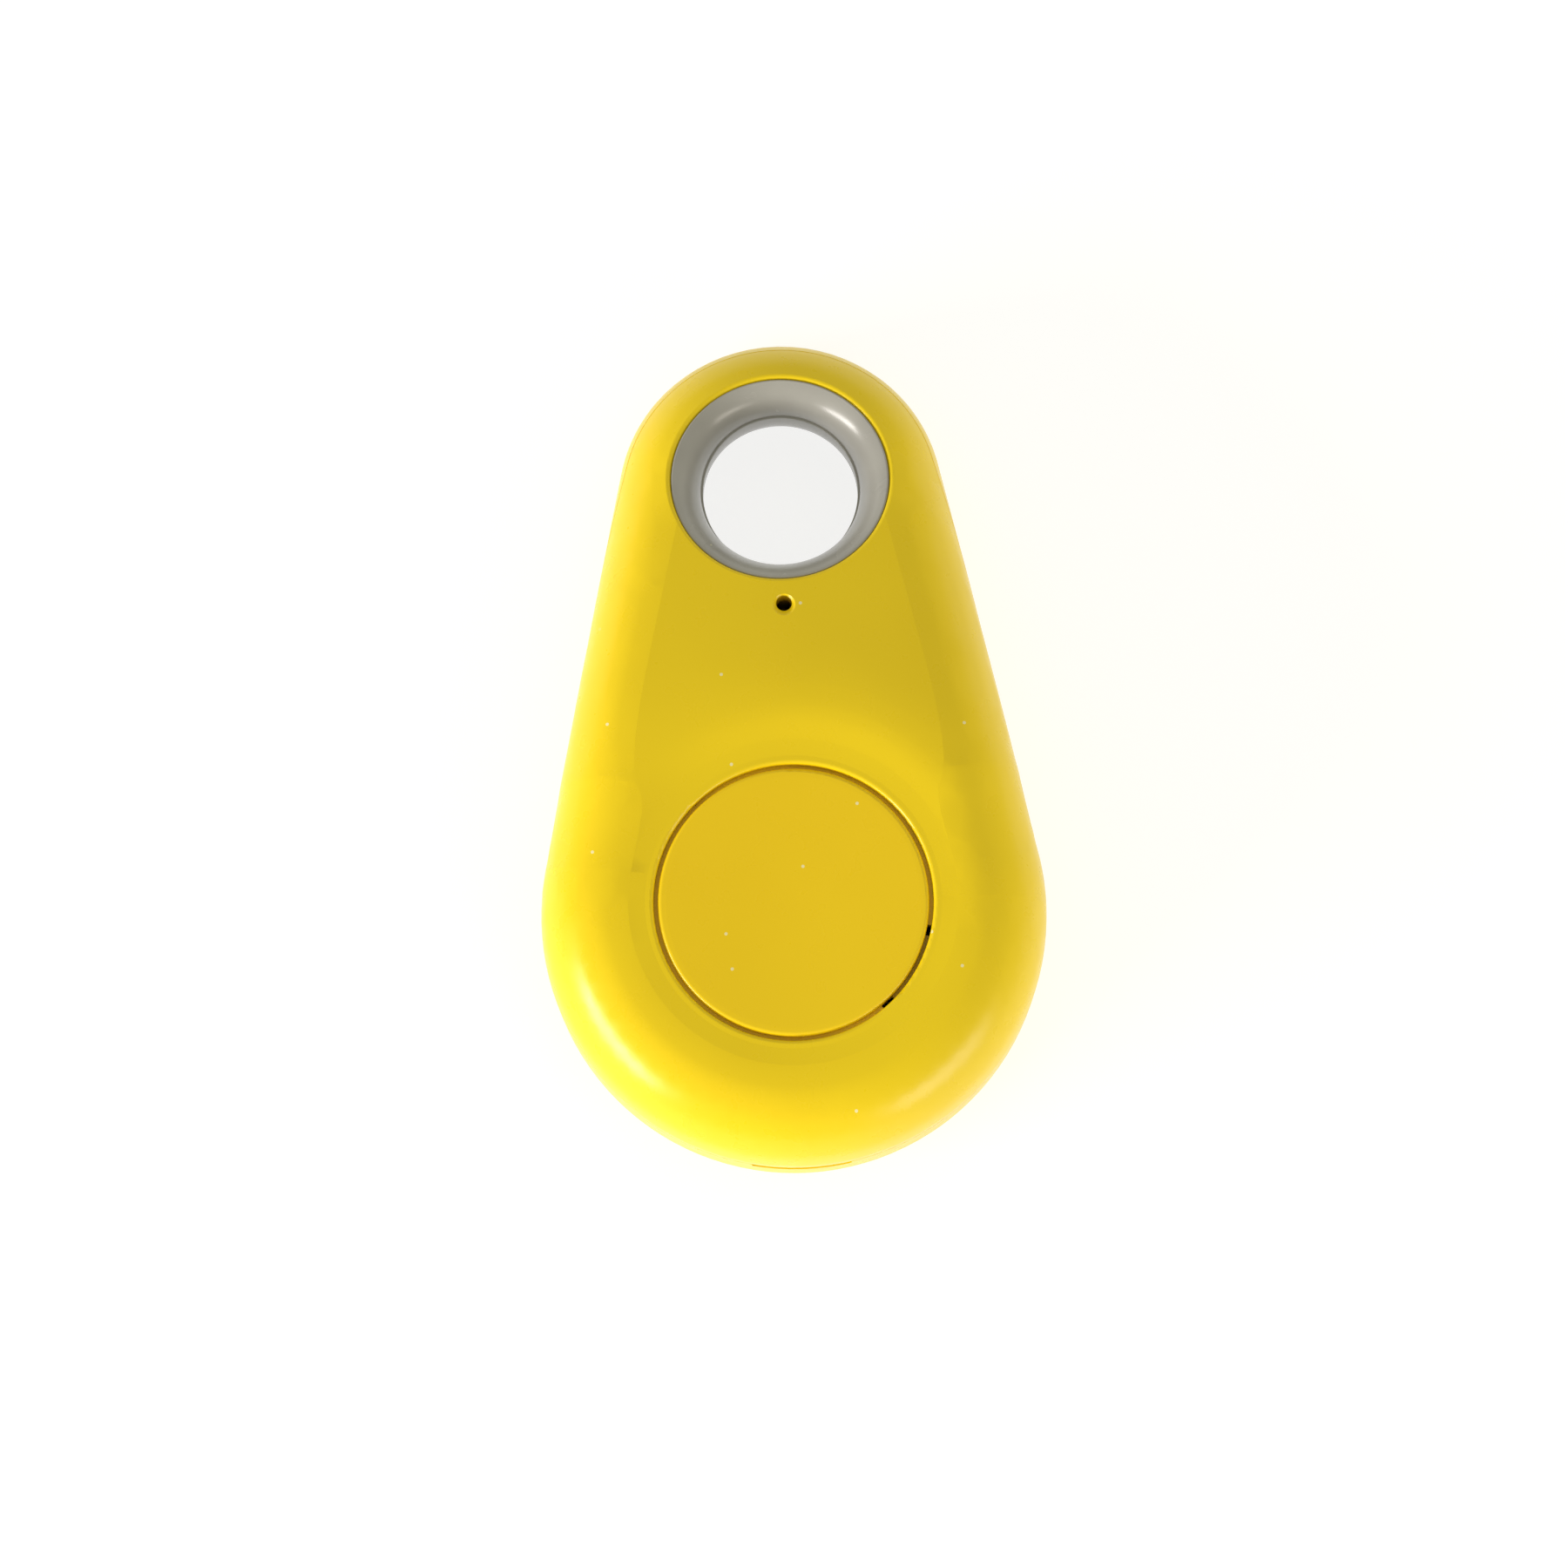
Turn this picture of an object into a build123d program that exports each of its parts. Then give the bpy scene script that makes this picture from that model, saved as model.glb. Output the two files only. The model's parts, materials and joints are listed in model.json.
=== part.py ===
from build123d import *
import math
import os

# A teardrop key-finder tag that talks to a phone by radio.  Two moulded half shells meet at a
# level joint line and trap a flared eyelet liner at the narrow end.  A round button fills most
# of the wide end and works a small tact switch on the board below it.  A coin cell slides under
# a steel strap on the back of the board.
# Frame: millimetres, +Z out of the button face, +Y towards the eyelet, the back lies on Z = 0.

# ---- driving sizes: the outside ----
BODY_LENGTH = 52.0
BIG_RADIUS = 15.3            # round end that holds the button
SMALL_RADIUS = 10.1          # round end that holds the eyelet
CROWN_HEIGHT = 11.0          # highest ring, round the button
WALL = 1.4
FRONT_ROUND = 4.8            # edge round of the button face
REAR_ROUND = 2.4             # edge round of the back
DISH_DEPTH = 0.3             # shallow sink round the button
DISH_WIDTH = 3.0
EYELET_FACE = 8.37           # height of the front face at the eyelet's axis
FACE_BEND = 2.5              # how softly that fall begins

# ---- driving sizes: button ----
BUTTON_HOLE_RADIUS = 8.35
BUTTON_GAP = 0.25
BUTTON_SINK = 0.05           # button rim below the shell beside it
BUTTON_HOLLOW = 0.15         # finger hollow of the button's top
BUTTON_PLATE = 1.1
SKIRT_THICKNESS = 0.8
FLANGE_REACH = 1.2           # flange under the shell, beyond the button's side
FLANGE_THICKNESS = 0.8
FLANGE_CLEARANCE = 0.05
SHELL_LIP = 0.6              # shell left over the flange, which sits in a recess
RECESS_CLEARANCE = 0.15
NOTCHES = ((-13.3, 0.6), (-48.6, 0.9))     # flange notches: angle in degrees, width
NOTCH_STEP = 0.35            # sunk stretch of flange between the two notches
EDGE_BREAK = 0.25

# ---- driving sizes: eyelet ----
EYELET_OFFSET = 0.15         # eyelet centre beyond the small end's centre
EYELET_RADIUS = 6.7          # hole in both shells
EYELET_WALL = 1.05           # shell round that hole
WAIST_RADIUS = 4.8           # narrowest part, the round hole a key ring goes through
WAIST_STEP = 0.25            # moulding line where the front flare meets the waist
WAIST_LOW = 3.7
WAIST_LENGTH = 1.1
LINER_CLEARANCE = 0.05
LINER_RIM = 0.2              # wall left at the flared rims
LINER_SINK = 0.12            # rims below the shells
COLLAR_REACH = 0.55
COLLAR_HEIGHT = 1.4
FLARE_SHARE = 0.8            # part of a quarter ellipse in each bell mouth
FLARE_STEPS = 6
EYELET_EDGE = 0.25           # rounded edge of the front shell's hole

# ---- driving sizes: shell details ----
SEAM_BREAK = 0.12            # broken outer edge of the front shell, which draws the joint line
TONGUE_INSET = 0.85
TONGUE_HEIGHT = 1.0
TONGUE_CLEARANCE = 0.05
BEAD_REACH = 0.2
BEAD_HEIGHT = 0.4
BEAD_LENGTH = 3.0
BEAD_LOW = 0.3               # above the joint line
BEAD_ROOT = 0.2              # how deep a bead is rooted in the tongue
BEAD_PLACES = (8.0, -9.0)    # along the body, from the button's axis, both sides
TONGUE_ROOT = 0.5            # how far the tongue runs down into the shell
LED_HOLE_RADIUS = 0.48
LED_HOLE_FLARE = 0.2
LED_HOLE_GAP = 0.07          # between the indicator hole and the eyelet's wall
PRY_NOTCH = (6.0, 0.7, 0.7)  # width, depth into the body, height
POST_RADIUS = 1.1
POST_GAP = 0.75              # between a board pin and the side wall
PIN_Y = 8.6                  # board pins, from the button's axis
STAKE_RADIUS = 0.55
STAKE_HEAD_RADIUS = 0.95
STAKE_HEAD = 0.35
REST_RADIUS = 0.7
REST_GAP = 0.3               # between a board rest and the side wall
REST_ANGLE = math.radians(36)
FIT_CLEARANCE = 0.05

# ---- driving sizes: board, battery and clip ----
BOARD_THICKNESS = 1.0
BOARD_CLEARANCE = 0.25
CELL_RADIUS = 10.0
CELL_HEIGHT = 3.2
JOINT_GAP = 0.15             # joint line above the cell
STRAP_GAP = 0.1              # strap above the rear shell's floor
STRAP_SHEET = 0.2
STRAP_CLEARANCE = 0.15
STRAP_FOOT = 1.65
STRAP_Y = (-3.0, 4.0)
STRAP_STOP_WIDTH = 6.0
CONTACT_RADIUS = 3.5
COPPER = 0.05
STRAP_STOP_HEIGHT = 1.8
CAN_SHEET = 0.25
CAN_DROP = 0.3               # can's crimped rim below the cap
CAN_ROUND = 0.4
CAP_RADIUS = 8.8
CAP_HEIGHT = 2.0
CATHODE_HEIGHT = 1.4
ANODE_HEIGHT = 0.7
TRACE = 0.4
ANTENNA_AT = (5.2, 10.8, 17.2)   # first run, and the two ends along the body
ANTENNA_RUNS = 5
ANTENNA_PITCH = 1.0

# ---- driving sizes: bought parts on the board ----
SWITCH_SIDE = 4.5
SWITCH_BASE_HEIGHT = 1.2
SWITCH_PLATE = 0.2
PLUNGER_RADIUS = 1.0
PLUNGER_FLANGE = 0.4
PLUNGER_TOP = 2.0            # above the board
BUZZER_LARGEST = 7.5         # side of the sounder, where the room allows it
BUZZER_HEIGHT = 2.5
BUZZER_GAP = 0.3             # between the sounder and the button's flange
WELL_RADIUS = 1.5
WELL_FLOOR = 0.25
DOME_HEIGHT = 0.45
DOME_SHEET = 0.06
LEG = (0.6, 0.7, 0.15)       # bent leg: width, reach, sheet
PLUNGER_GAP = 0.03           # between the button's post and the plunger
BUTTON_POST_RADIUS = 1.6
BUZZER_FLOOR = 0.4
BUZZER_WALL = 0.3
BUZZER_LAND = (1.0, 1.2)     # width, and how far its middle is from the sounder's end
BUZZER_LAND_TOP = 0.8
POLE_HEIGHT = 1.2
COIL_DROP = 0.2              # coil and magnet below the pole's tip
DIAPHRAGM_GAP = 0.15
DIAPHRAGM_SHEET = 0.08
LED = (1.6, 0.8, 0.7)
LED_SHIFT = 0.15             # light's middle short of its hole's axis
CHIP = (4.0, 4.0, 0.8)
CHIP_ROW = 6
CHIP_PITCH = 0.5
LAND = 0.08                  # thickness of the solder lands
LAND_LENGTH = 0.6
LAND_WIDTH = 0.25
CRYSTAL = (3.2, 2.5, 0.8)
CHIP_AT = (-6.3, -4.2)
CRYSTAL_AT = (-7.4, 1.3)
CRYSTAL_CORNER = 0.4
TRANSISTOR = (2.9, 1.3, 1.0)
TRANSISTOR_AT = (-7.6, 12.2)
CHIP_PART = (1.6, 0.8, 0.5)  # small two-ended parts
END_CAP = 0.3
CAPACITORS = ((-2.4, -6.9, 0), (-6.3, -7.6, 0), (-9.6, -4.2, 90), (-10.2, 1.2, 90),
              (-4.6, 4.4, 0), (5.2, -6.2, 0), (7.6, -3.4, 90))
RESISTORS = ((-5.6, 8.6, 90), (-8.2, 15.2, 0), (5.4, 4.2, 0))
LED_RESISTOR = (2.9, 0.8)    # beside the indicator light: across, and along from the sounder

# ---- values worked out from those ----
BIG_Y = BIG_RADIUS - BODY_LENGTH / 2
SMALL_Y = BODY_LENGTH / 2 - SMALL_RADIUS
EYELET_Y = SMALL_Y + EYELET_OFFSET - BIG_Y     # from the button's axis
TAPER = math.asin((BIG_RADIUS - SMALL_RADIUS) / (SMALL_Y - BIG_Y))
DISH_FLAT = BUTTON_HOLE_RADIUS + 2 * EDGE_BREAK
CROWN_RADIUS = DISH_FLAT + DISH_WIDTH
FACE_RUN = math.hypot(EYELET_Y - CROWN_RADIUS, FACE_BEND) - FACE_BEND
FACE_SLOPE = (CROWN_HEIGHT - EYELET_FACE) / FACE_RUN
CELL_LOW = WALL + STRAP_GAP + STRAP_SHEET + FIT_CLEARANCE
CELL_TOP = CELL_LOW + CELL_HEIGHT
JOINT_HEIGHT = CELL_TOP + JOINT_GAP
COLLAR_LOW = JOINT_HEIGHT - COLLAR_HEIGHT / 2
BOARD_LOW = CELL_TOP + FIT_CLEARANCE + COPPER
BUTTON_RADIUS = BUTTON_HOLE_RADIUS - BUTTON_GAP
FLANGE_RADIUS = BUTTON_RADIUS + FLANGE_REACH
RIM_HEIGHT = CROWN_HEIGHT - DISH_DEPTH
FLANGE_TOP = RIM_HEIGHT - SHELL_LIP - FLANGE_CLEARANCE
BUTTON_TOP = RIM_HEIGHT - BUTTON_SINK
BOARD_TOP = BOARD_LOW + BOARD_THICKNESS
POCKET_RADIUS = EYELET_RADIUS + EYELET_WALL
POCKET_END = EYELET_Y - POCKET_RADIUS / 2
LED_HOLE_Y = EYELET_Y - POCKET_RADIUS - LED_HOLE_RADIUS - LED_HOLE_GAP
LED_Y = LED_HOLE_Y - LED_SHIFT
BUZZER_LOW_Y = FLANGE_RADIUS + BUZZER_GAP
BUZZER_SIDE = min(BUZZER_LARGEST, LED_Y - LED[1] / 2 - BUZZER_GAP - BUZZER_LOW_Y)
BUZZER_Y = BUZZER_LOW_Y + BUZZER_SIDE / 2
BUZZER_SHARE = BUZZER_SIDE / BUZZER_LARGEST
BUZZER_ROOM = 3.35 * BUZZER_SHARE
BUZZER_CORNER = 0.6 * BUZZER_SHARE
SOUND_HOLE_RADIUS = 0.6 * BUZZER_SHARE
POLE_RADIUS = 0.6 * BUZZER_SHARE
COIL_RADIUS = 1.7 * BUZZER_SHARE
MAGNET_INNER = 2.0 * BUZZER_SHARE
MAGNET_OUTER = 2.9 * BUZZER_SHARE
ALL_RESISTORS = RESISTORS + ((LED_RESISTOR[0], BUZZER_LOW_Y + BUZZER_SIDE + LED_RESISTOR[1], 0),)
PIN_X = (BIG_RADIUS - WALL - PIN_Y * math.sin(TAPER)) / math.cos(TAPER) - POST_RADIUS - POST_GAP
REST_OUT = BIG_RADIUS - WALL - REST_RADIUS - REST_GAP
REST_X = REST_OUT * math.cos(REST_ANGLE)
REST_Y = -REST_OUT * math.sin(REST_ANGLE)
PINS = ((-PIN_X, PIN_Y), (PIN_X, PIN_Y))
RESTS = ((-REST_X, REST_Y), (REST_X, REST_Y))
BIG = 100.0                  # larger than the whole tag, for cutting tools


def at(x, y, z=0.0):
    """A place counted from the button's axis."""
    return Pos(x, BIG_Y + y, z)


def block(x0, x1, y0, y1, z0, z1):
    """A box between two corners, counted from the button's axis."""
    middle = at((x0 + x1) / 2, (y0 + y1) / 2, (z0 + z1) / 2)
    return middle * Box(abs(x1 - x0), abs(y1 - y0), abs(z1 - z0))


def rod(radius, z0, z1, x=0.0, y=0.0):
    """An upright cylinder between two heights, counted from the button's axis."""
    return at(x, y, (z0 + z1) / 2) * Cylinder(radius, z1 - z0)


def ring(inner, outer, z0, z1, x=0.0, y=0.0):
    """An upright tube between two heights, counted from the button's axis."""
    return rod(outer, z0, z1, x, y) - rod(inner, z0 - 1, z1 + 1, x, y)


def turned(points, x=0.0, y=0.0, z=0.0):
    """A closed outline of (radius, height) points turned about an upright axis."""
    face = Plane.XZ * make_face(Polyline(*points, close=True))
    return at(x, y, z) * revolve(face, Axis.Z)


def teardrop(inset=0.0):
    """The outline seen from the front: two round ends and their two shared tangents."""
    big, small = BIG_RADIUS - inset, SMALL_RADIUS - inset
    c, s = math.cos(TAPER), math.sin(TAPER)
    low = (big * c, BIG_Y + big * s)
    high = (small * c, SMALL_Y + small * s)
    edges = [
        ThreePointArc((-low[0], low[1]), (0, BIG_Y - big), low),
        Line(low, high),
        ThreePointArc(high, (0, SMALL_Y + small), (-high[0], high[1])),
        Line((-high[0], high[1]), (-low[0], low[1])),
    ]
    return make_face(edges)


def face_height(r):
    """Height of the front face at a distance from the button's axis."""
    if r <= CROWN_RADIUS:
        share = max(0.0, r - DISH_FLAT) / DISH_WIDTH
        return CROWN_HEIGHT - DISH_DEPTH * (1 + math.cos(math.pi * share)) / 2
    out = r - CROWN_RADIUS
    return CROWN_HEIGHT - FACE_SLOPE * (math.hypot(out, FACE_BEND) - FACE_BEND)


def under_face(inset=0.0):
    """Everything below the front face: its profile turned about the button's axis."""
    reach = BODY_LENGTH
    dish = [DISH_FLAT + DISH_WIDTH * i / 6 for i in range(7)]
    outer = [CROWN_RADIUS + (reach - CROWN_RADIUS) * (i / 12) ** 1.6 for i in range(1, 13)]
    points = [(r, face_height(r) - inset) for r in dish + outer]
    curve = Spline(*points, tangents=((1, 0), (1, -FACE_SLOPE)))
    start = (DISH_FLAT, RIM_HEIGHT - inset)
    end = (reach, face_height(reach) - inset)
    rest = Polyline(end, (reach, -BIG), (0, -BIG), (0, start[1]), start)
    return at(0, 0) * revolve(Plane.XZ * make_face([curve, rest]), Axis.Z)


def on_outline(edge, inset):
    """True for an edge of the front face that follows the teardrop's outline."""
    middle = edge.position_at(0.37)
    flat = Vector(middle.X, middle.Y, 0)
    near = min(part.distance_to(flat) for part in teardrop(inset).edges())
    return near < 0.01 and edge.bounding_box().min.Z > JOINT_HEIGHT


def pebble(inset=0.0):
    """The body's outer form, or that form shrunk by an even inset."""
    solid = Pos(0, 0, inset) * extrude(teardrop(inset), CROWN_HEIGHT) & under_face(inset)
    rim = [edge for edge in solid.edges() if on_outline(edge, inset) and not upright(edge)]
    solid = fillet(rim, FRONT_ROUND - inset)
    return fillet(solid.faces().sort_by(Axis.Z)[0].edges(), REAR_ROUND - inset)


def upright(edge):
    """True for an edge that runs straight up the side wall."""
    size = edge.bounding_box().size
    return size.X + size.Y < 0.01


def above(height):
    """Everything above a level."""
    return Pos(0, 0, height + BIG / 2) * Box(BIG, BIG, BIG)


def eyelet_end():
    """The solid end of the body round the eyelet, as a tool the inner hollow is cut back by."""
    pocket = rod(POCKET_RADIUS, -1, BIG, y=EYELET_Y)
    return pocket + block(-BIG, BIG, POCKET_END, BIG, -1, BIG)


def hollow():
    """The space inside the two shells."""
    return pebble(WALL) - eyelet_end()


def outline_ring(outer, inner, z0, z1):
    """A band that follows the outline between two insets, beside the hollow only."""
    band = extrude(teardrop(outer), z1 - z0) - Pos(0, 0, -1) * extrude(teardrop(inner), z1 - z0 + 2)
    return Pos(0, 0, z0) * band & block(-BIG, BIG, -BIG, POCKET_END, z0 - 1, z1 + 1)


def snap_beads(grow=0.0):
    """Four short beads on the tongue's outer side, or the grooves that take them."""
    low = JOINT_HEIGHT + BEAD_LOW - grow
    high = low + BEAD_HEIGHT + 2 * grow
    band = outline_ring(TONGUE_INSET - BEAD_REACH - grow, TONGUE_INSET + BEAD_ROOT, low, high)
    half = BEAD_LENGTH / 2 + grow
    places = [(side, y) for side in (-1, 1) for y in BEAD_PLACES]
    return Part() + [band & block(side * BIG, 0, y - half, y + half, 0, BIG) for side, y in places]


def eyelet_cut():
    """The hole for the liner with the groove for its collar."""
    groove = EYELET_RADIUS + COLLAR_REACH + LINER_CLEARANCE
    hole = rod(EYELET_RADIUS, -1, BIG, y=EYELET_Y)
    low = COLLAR_LOW - LINER_CLEARANCE
    return hole + rod(groove, low, COLLAR_LOW + COLLAR_HEIGHT + LINER_CLEARANCE, y=EYELET_Y)


def on_eyelet_rim(edge):
    """True for an edge where the eyelet's hole meets the front face."""
    middle = edge.position_at(0.3)
    out = math.hypot(middle.X, middle.Y - BIG_Y - EYELET_Y)
    above_collar = middle.Z > JOINT_HEIGHT + COLLAR_HEIGHT / 2 + EYELET_EDGE
    return abs(out - EYELET_RADIUS) < 0.01 and above_collar and edge.geom_type != GeomType.LINE


def front_cover():
    """Front shell: button hole, indicator hole, board pins and rests."""
    shell = pebble() & above(JOINT_HEIGHT)
    shell = chamfer(shell.faces().sort_by(Axis.Z)[0].outer_wire().edges(), SEAM_BREAK) - hollow()
    shell -= rod(BUTTON_HOLE_RADIUS, JOINT_HEIGHT, BIG)
    shell -= rod(FLANGE_RADIUS + RECESS_CLEARANCE, JOINT_HEIGHT, RIM_HEIGHT - SHELL_LIP)
    mouth = shell.edges().filter_by(GeomType.CIRCLE).sort_by(Axis.Z)[-1]
    shell = fillet(mouth, EDGE_BREAK)
    room = TONGUE_CLEARANCE
    high = JOINT_HEIGHT + TONGUE_HEIGHT + room
    shell -= outline_ring(TONGUE_INSET - room, WALL + 1, JOINT_HEIGHT - 1, high)
    shell -= snap_beads(room)
    roof = pebble(WALL / 2)
    for x, y in PINS:
        shell += rod(POST_RADIUS, BOARD_TOP, BIG, x, y) & roof
        shell += rod(STAKE_RADIUS, BOARD_LOW - STAKE_HEAD / 2, BOARD_TOP + 0.5, x, y)
        shell += rod(STAKE_HEAD_RADIUS, BOARD_LOW - STAKE_HEAD, BOARD_LOW, x, y)
    for x, y in RESTS:
        shell += rod(REST_RADIUS, BOARD_TOP, BIG, x, y) & roof
    top = face_height(LED_HOLE_Y)
    shell -= rod(LED_HOLE_RADIUS, BOARD_TOP, BIG, y=LED_HOLE_Y)
    flare = [(0, top - LED_HOLE_FLARE), (LED_HOLE_RADIUS, top - LED_HOLE_FLARE),
             (LED_HOLE_RADIUS + 2 * LED_HOLE_FLARE, top + LED_HOLE_FLARE), (0, top + LED_HOLE_FLARE)]
    shell -= turned(flare, y=LED_HOLE_Y)
    shell -= eyelet_cut()
    return fillet([edge for edge in shell.edges() if on_eyelet_rim(edge)], EYELET_EDGE)


def rear_cover():
    """Rear shell: flat back, tongue with snap beads, pry notch at the tail."""
    shell = (pebble() - above(JOINT_HEIGHT)) - hollow()
    low = JOINT_HEIGHT - TONGUE_ROOT
    shell += outline_ring(TONGUE_INSET, WALL, low, JOINT_HEIGHT + TONGUE_HEIGHT) & block(
        -BIG, BIG, -BIG, POCKET_END - TONGUE_CLEARANCE, 0, BIG)
    shell += snap_beads()
    width, depth, height = PRY_NOTCH
    tail = -BIG_RADIUS
    shell -= block(-width / 2, width / 2, tail - 1, tail + depth, JOINT_HEIGHT - height, JOINT_HEIGHT)
    return shell - eyelet_cut()


def bell_mouth(low, high, waist, slope):
    """The room inside one bell mouth: a quarter ellipse from the waist out to a sloping rim."""
    rim = EYELET_RADIUS - LINER_CLEARANCE - LINER_RIM
    full = math.radians(90) * FLARE_SHARE
    sections = []
    for i in range(FLARE_STEPS + 1):
        turn = full * i / FLARE_STEPS
        radius = waist + (rim - waist) * (1 - math.cos(turn)) / (1 - math.cos(full))
        rise = math.sin(turn) / math.sin(full)
        tilt = math.atan(slope * rise)
        middle = at(0, EYELET_Y, low + (high - low) * rise)
        section = Rot(-math.degrees(tilt), 0, 0) * Ellipse(radius, radius / math.cos(tilt))
        sections.append(middle * section)
    return loft(sections)


def eyelet_liner():
    """Flared liner, trapped between the shells by its collar."""
    outer = EYELET_RADIUS - LINER_CLEARANCE
    body = rod(outer, 0, BIG, y=EYELET_Y)
    body += rod(outer + COLLAR_REACH, COLLAR_LOW, COLLAR_LOW + COLLAR_HEIGHT, y=EYELET_Y)
    body = body & pebble(LINER_SINK)
    waist_top = WAIST_LOW + WAIST_LENGTH
    body -= bell_mouth(waist_top, EYELET_FACE, WAIST_RADIUS + WAIST_STEP, FACE_SLOPE)
    body -= bell_mouth(WAIST_LOW, 0, WAIST_RADIUS, 0)
    return body - rod(WAIST_RADIUS, 0, BIG, y=EYELET_Y)


def sector(first, last):
    """A wedge between two directions, given in degrees, from the button's axis outwards."""
    turns = [math.radians(first + (last - first) * i / 2) for i in range(3)]
    far = [(BIG * math.cos(turn), BIG * math.sin(turn)) for turn in turns]
    return at(0, 0) * extrude(make_face(Polyline((0, 0), *far, close=True)), BIG)


def button_cap():
    """Button: hollowed cap with a skirt, a flange under the shell and a post to the switch."""
    low = FLANGE_TOP - FLANGE_THICKNESS
    under = BUTTON_TOP - BUTTON_PLATE
    skirt = BUTTON_RADIUS - SKIRT_THICKNESS
    cap = rod(BUTTON_RADIUS, low, BUTTON_TOP)
    cap = fillet(cap.edges().sort_by(Axis.Z)[-1], EDGE_BREAK)
    hollow_radius = BUTTON_RADIUS - 2 * EDGE_BREAK
    ball = (hollow_radius ** 2 + BUTTON_HOLLOW ** 2) / (2 * BUTTON_HOLLOW)
    cap -= at(0, 0, BUTTON_TOP - BUTTON_HOLLOW + ball) * Sphere(ball)
    cap += rod(FLANGE_RADIUS, low, FLANGE_TOP)
    cap -= ring(BUTTON_RADIUS, BIG, FLANGE_TOP - NOTCH_STEP, BIG) & sector(NOTCHES[0][0], NOTCHES[1][0])
    for angle, width in NOTCHES:
        slot = Pos(BUTTON_RADIUS + BIG / 2, 0, 0) * Box(BIG, width, BIG)
        cap -= at(0, 0) * Rot(0, 0, angle) * slot
    cap -= rod(skirt, low - 1, under)
    post_low = BOARD_TOP + PLUNGER_TOP + PLUNGER_GAP
    return cap + rod(BUTTON_POST_RADIUS, post_low, under + BUTTON_PLATE / 2)


def circuit_board():
    """Board that fills the hollow, with a hole for each locating pin."""
    board = extrude(teardrop(WALL + BOARD_CLEARANCE), BOARD_THICKNESS)
    board = Pos(0, 0, BOARD_LOW) * board
    board -= rod(POCKET_RADIUS + BOARD_CLEARANCE, 0, BIG, y=EYELET_Y)
    board -= block(-BIG, BIG, POCKET_END - BOARD_CLEARANCE, BIG, 0, BIG)
    for x, y in PINS:
        board -= rod(STAKE_RADIUS + FIT_CLEARANCE, 0, BIG, x, y)
    return board


def on_board(x, y, z0, z1, width, length):
    """A box that stands on the board, between two heights above it."""
    return at(x, y, BOARD_TOP + (z0 + z1) / 2) * Box(width, length, z1 - z0)


def switch_base():
    """Moulded housing of the tact switch, with a round well."""
    base = on_board(0, 0, 0, SWITCH_BASE_HEIGHT, SWITCH_SIDE, SWITCH_SIDE)
    return base - rod(WELL_RADIUS, BOARD_TOP + WELL_FLOOR, BIG)


def switch_plate():
    """Steel plate that closes the well round the plunger."""
    low = BOARD_TOP + SWITCH_BASE_HEIGHT
    plate = on_board(0, 0, SWITCH_BASE_HEIGHT, SWITCH_BASE_HEIGHT + SWITCH_PLATE, SWITCH_SIDE, SWITCH_SIDE)
    return plate - rod(PLUNGER_RADIUS + FIT_CLEARANCE, low - 1, BIG)


def switch_dome():
    """Snap dome on the floor of the well: it flattens as the button goes down."""
    reach = WELL_RADIUS - 2 * FIT_CLEARANCE
    ball = (reach ** 2 + DOME_HEIGHT ** 2) / (2 * DOME_HEIGHT)
    centre = at(0, 0, BOARD_TOP + WELL_FLOOR + DOME_HEIGHT - ball)
    shell = centre * Sphere(ball) - centre * Sphere(ball - DOME_SHEET)
    return shell & rod(WELL_RADIUS, BOARD_TOP + WELL_FLOOR, BIG)


def switch_plunger():
    """Plunger with a flange that the plate holds in."""
    low = BOARD_TOP + WELL_FLOOR + DOME_HEIGHT
    high = BOARD_TOP + SWITCH_BASE_HEIGHT - FIT_CLEARANCE
    stem = rod(PLUNGER_RADIUS, low, BOARD_TOP + PLUNGER_TOP)
    return stem + rod(PLUNGER_RADIUS + PLUNGER_FLANGE, low, high)


def switch_terminals():
    """Four bent legs soldered to the board."""
    side = SWITCH_SIDE / 2
    legs = []
    for x in (-1, 1):
        for y in (-1, 1):
            place = y * (side - LEG[0])
            foot = on_board(x * (side + LEG[1] / 2), place, 0, LEG[2], LEG[1], LEG[0])
            rise = on_board(x * (side + LEG[2] / 2), place, 0, SWITCH_BASE_HEIGHT / 2, LEG[2], LEG[0])
            legs.append(foot + rise)
    return Compound(children=legs)


def buzzer_case():
    """Moulded cover of the sounder, with its sound hole."""
    case = on_board(0, BUZZER_Y, BUZZER_FLOOR, BUZZER_HEIGHT, BUZZER_SIDE, BUZZER_SIDE)
    case = chamfer(case.edges().filter_by(Axis.Z), BUZZER_CORNER)
    case -= rod(BUZZER_ROOM, 0, BOARD_TOP + BUZZER_HEIGHT - BUZZER_WALL, y=BUZZER_Y)
    return case - rod(SOUND_HOLE_RADIUS, 0, BIG, y=BUZZER_Y)


def buzzer_base():
    """Bottom plate of the sounder with the iron pole in its middle."""
    plate = on_board(0, BUZZER_Y, 0, BUZZER_FLOOR, BUZZER_SIDE, BUZZER_SIDE)
    return chamfer(plate.edges().filter_by(Axis.Z), BUZZER_CORNER)


def buzzer_pole():
    """Iron pole that the coil is wound on."""
    low = BOARD_TOP + BUZZER_FLOOR
    return rod(POLE_RADIUS, low, low + POLE_HEIGHT, y=BUZZER_Y)


def buzzer_coil():
    """Wound coil round the pole."""
    low = BOARD_TOP + BUZZER_FLOOR
    return ring(POLE_RADIUS, COIL_RADIUS, low, low + POLE_HEIGHT - COIL_DROP, y=BUZZER_Y)


def buzzer_magnet():
    """Ring magnet round the coil."""
    low = BOARD_TOP + BUZZER_FLOOR
    return ring(MAGNET_INNER, MAGNET_OUTER, low, low + POLE_HEIGHT - COIL_DROP, y=BUZZER_Y)


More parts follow.
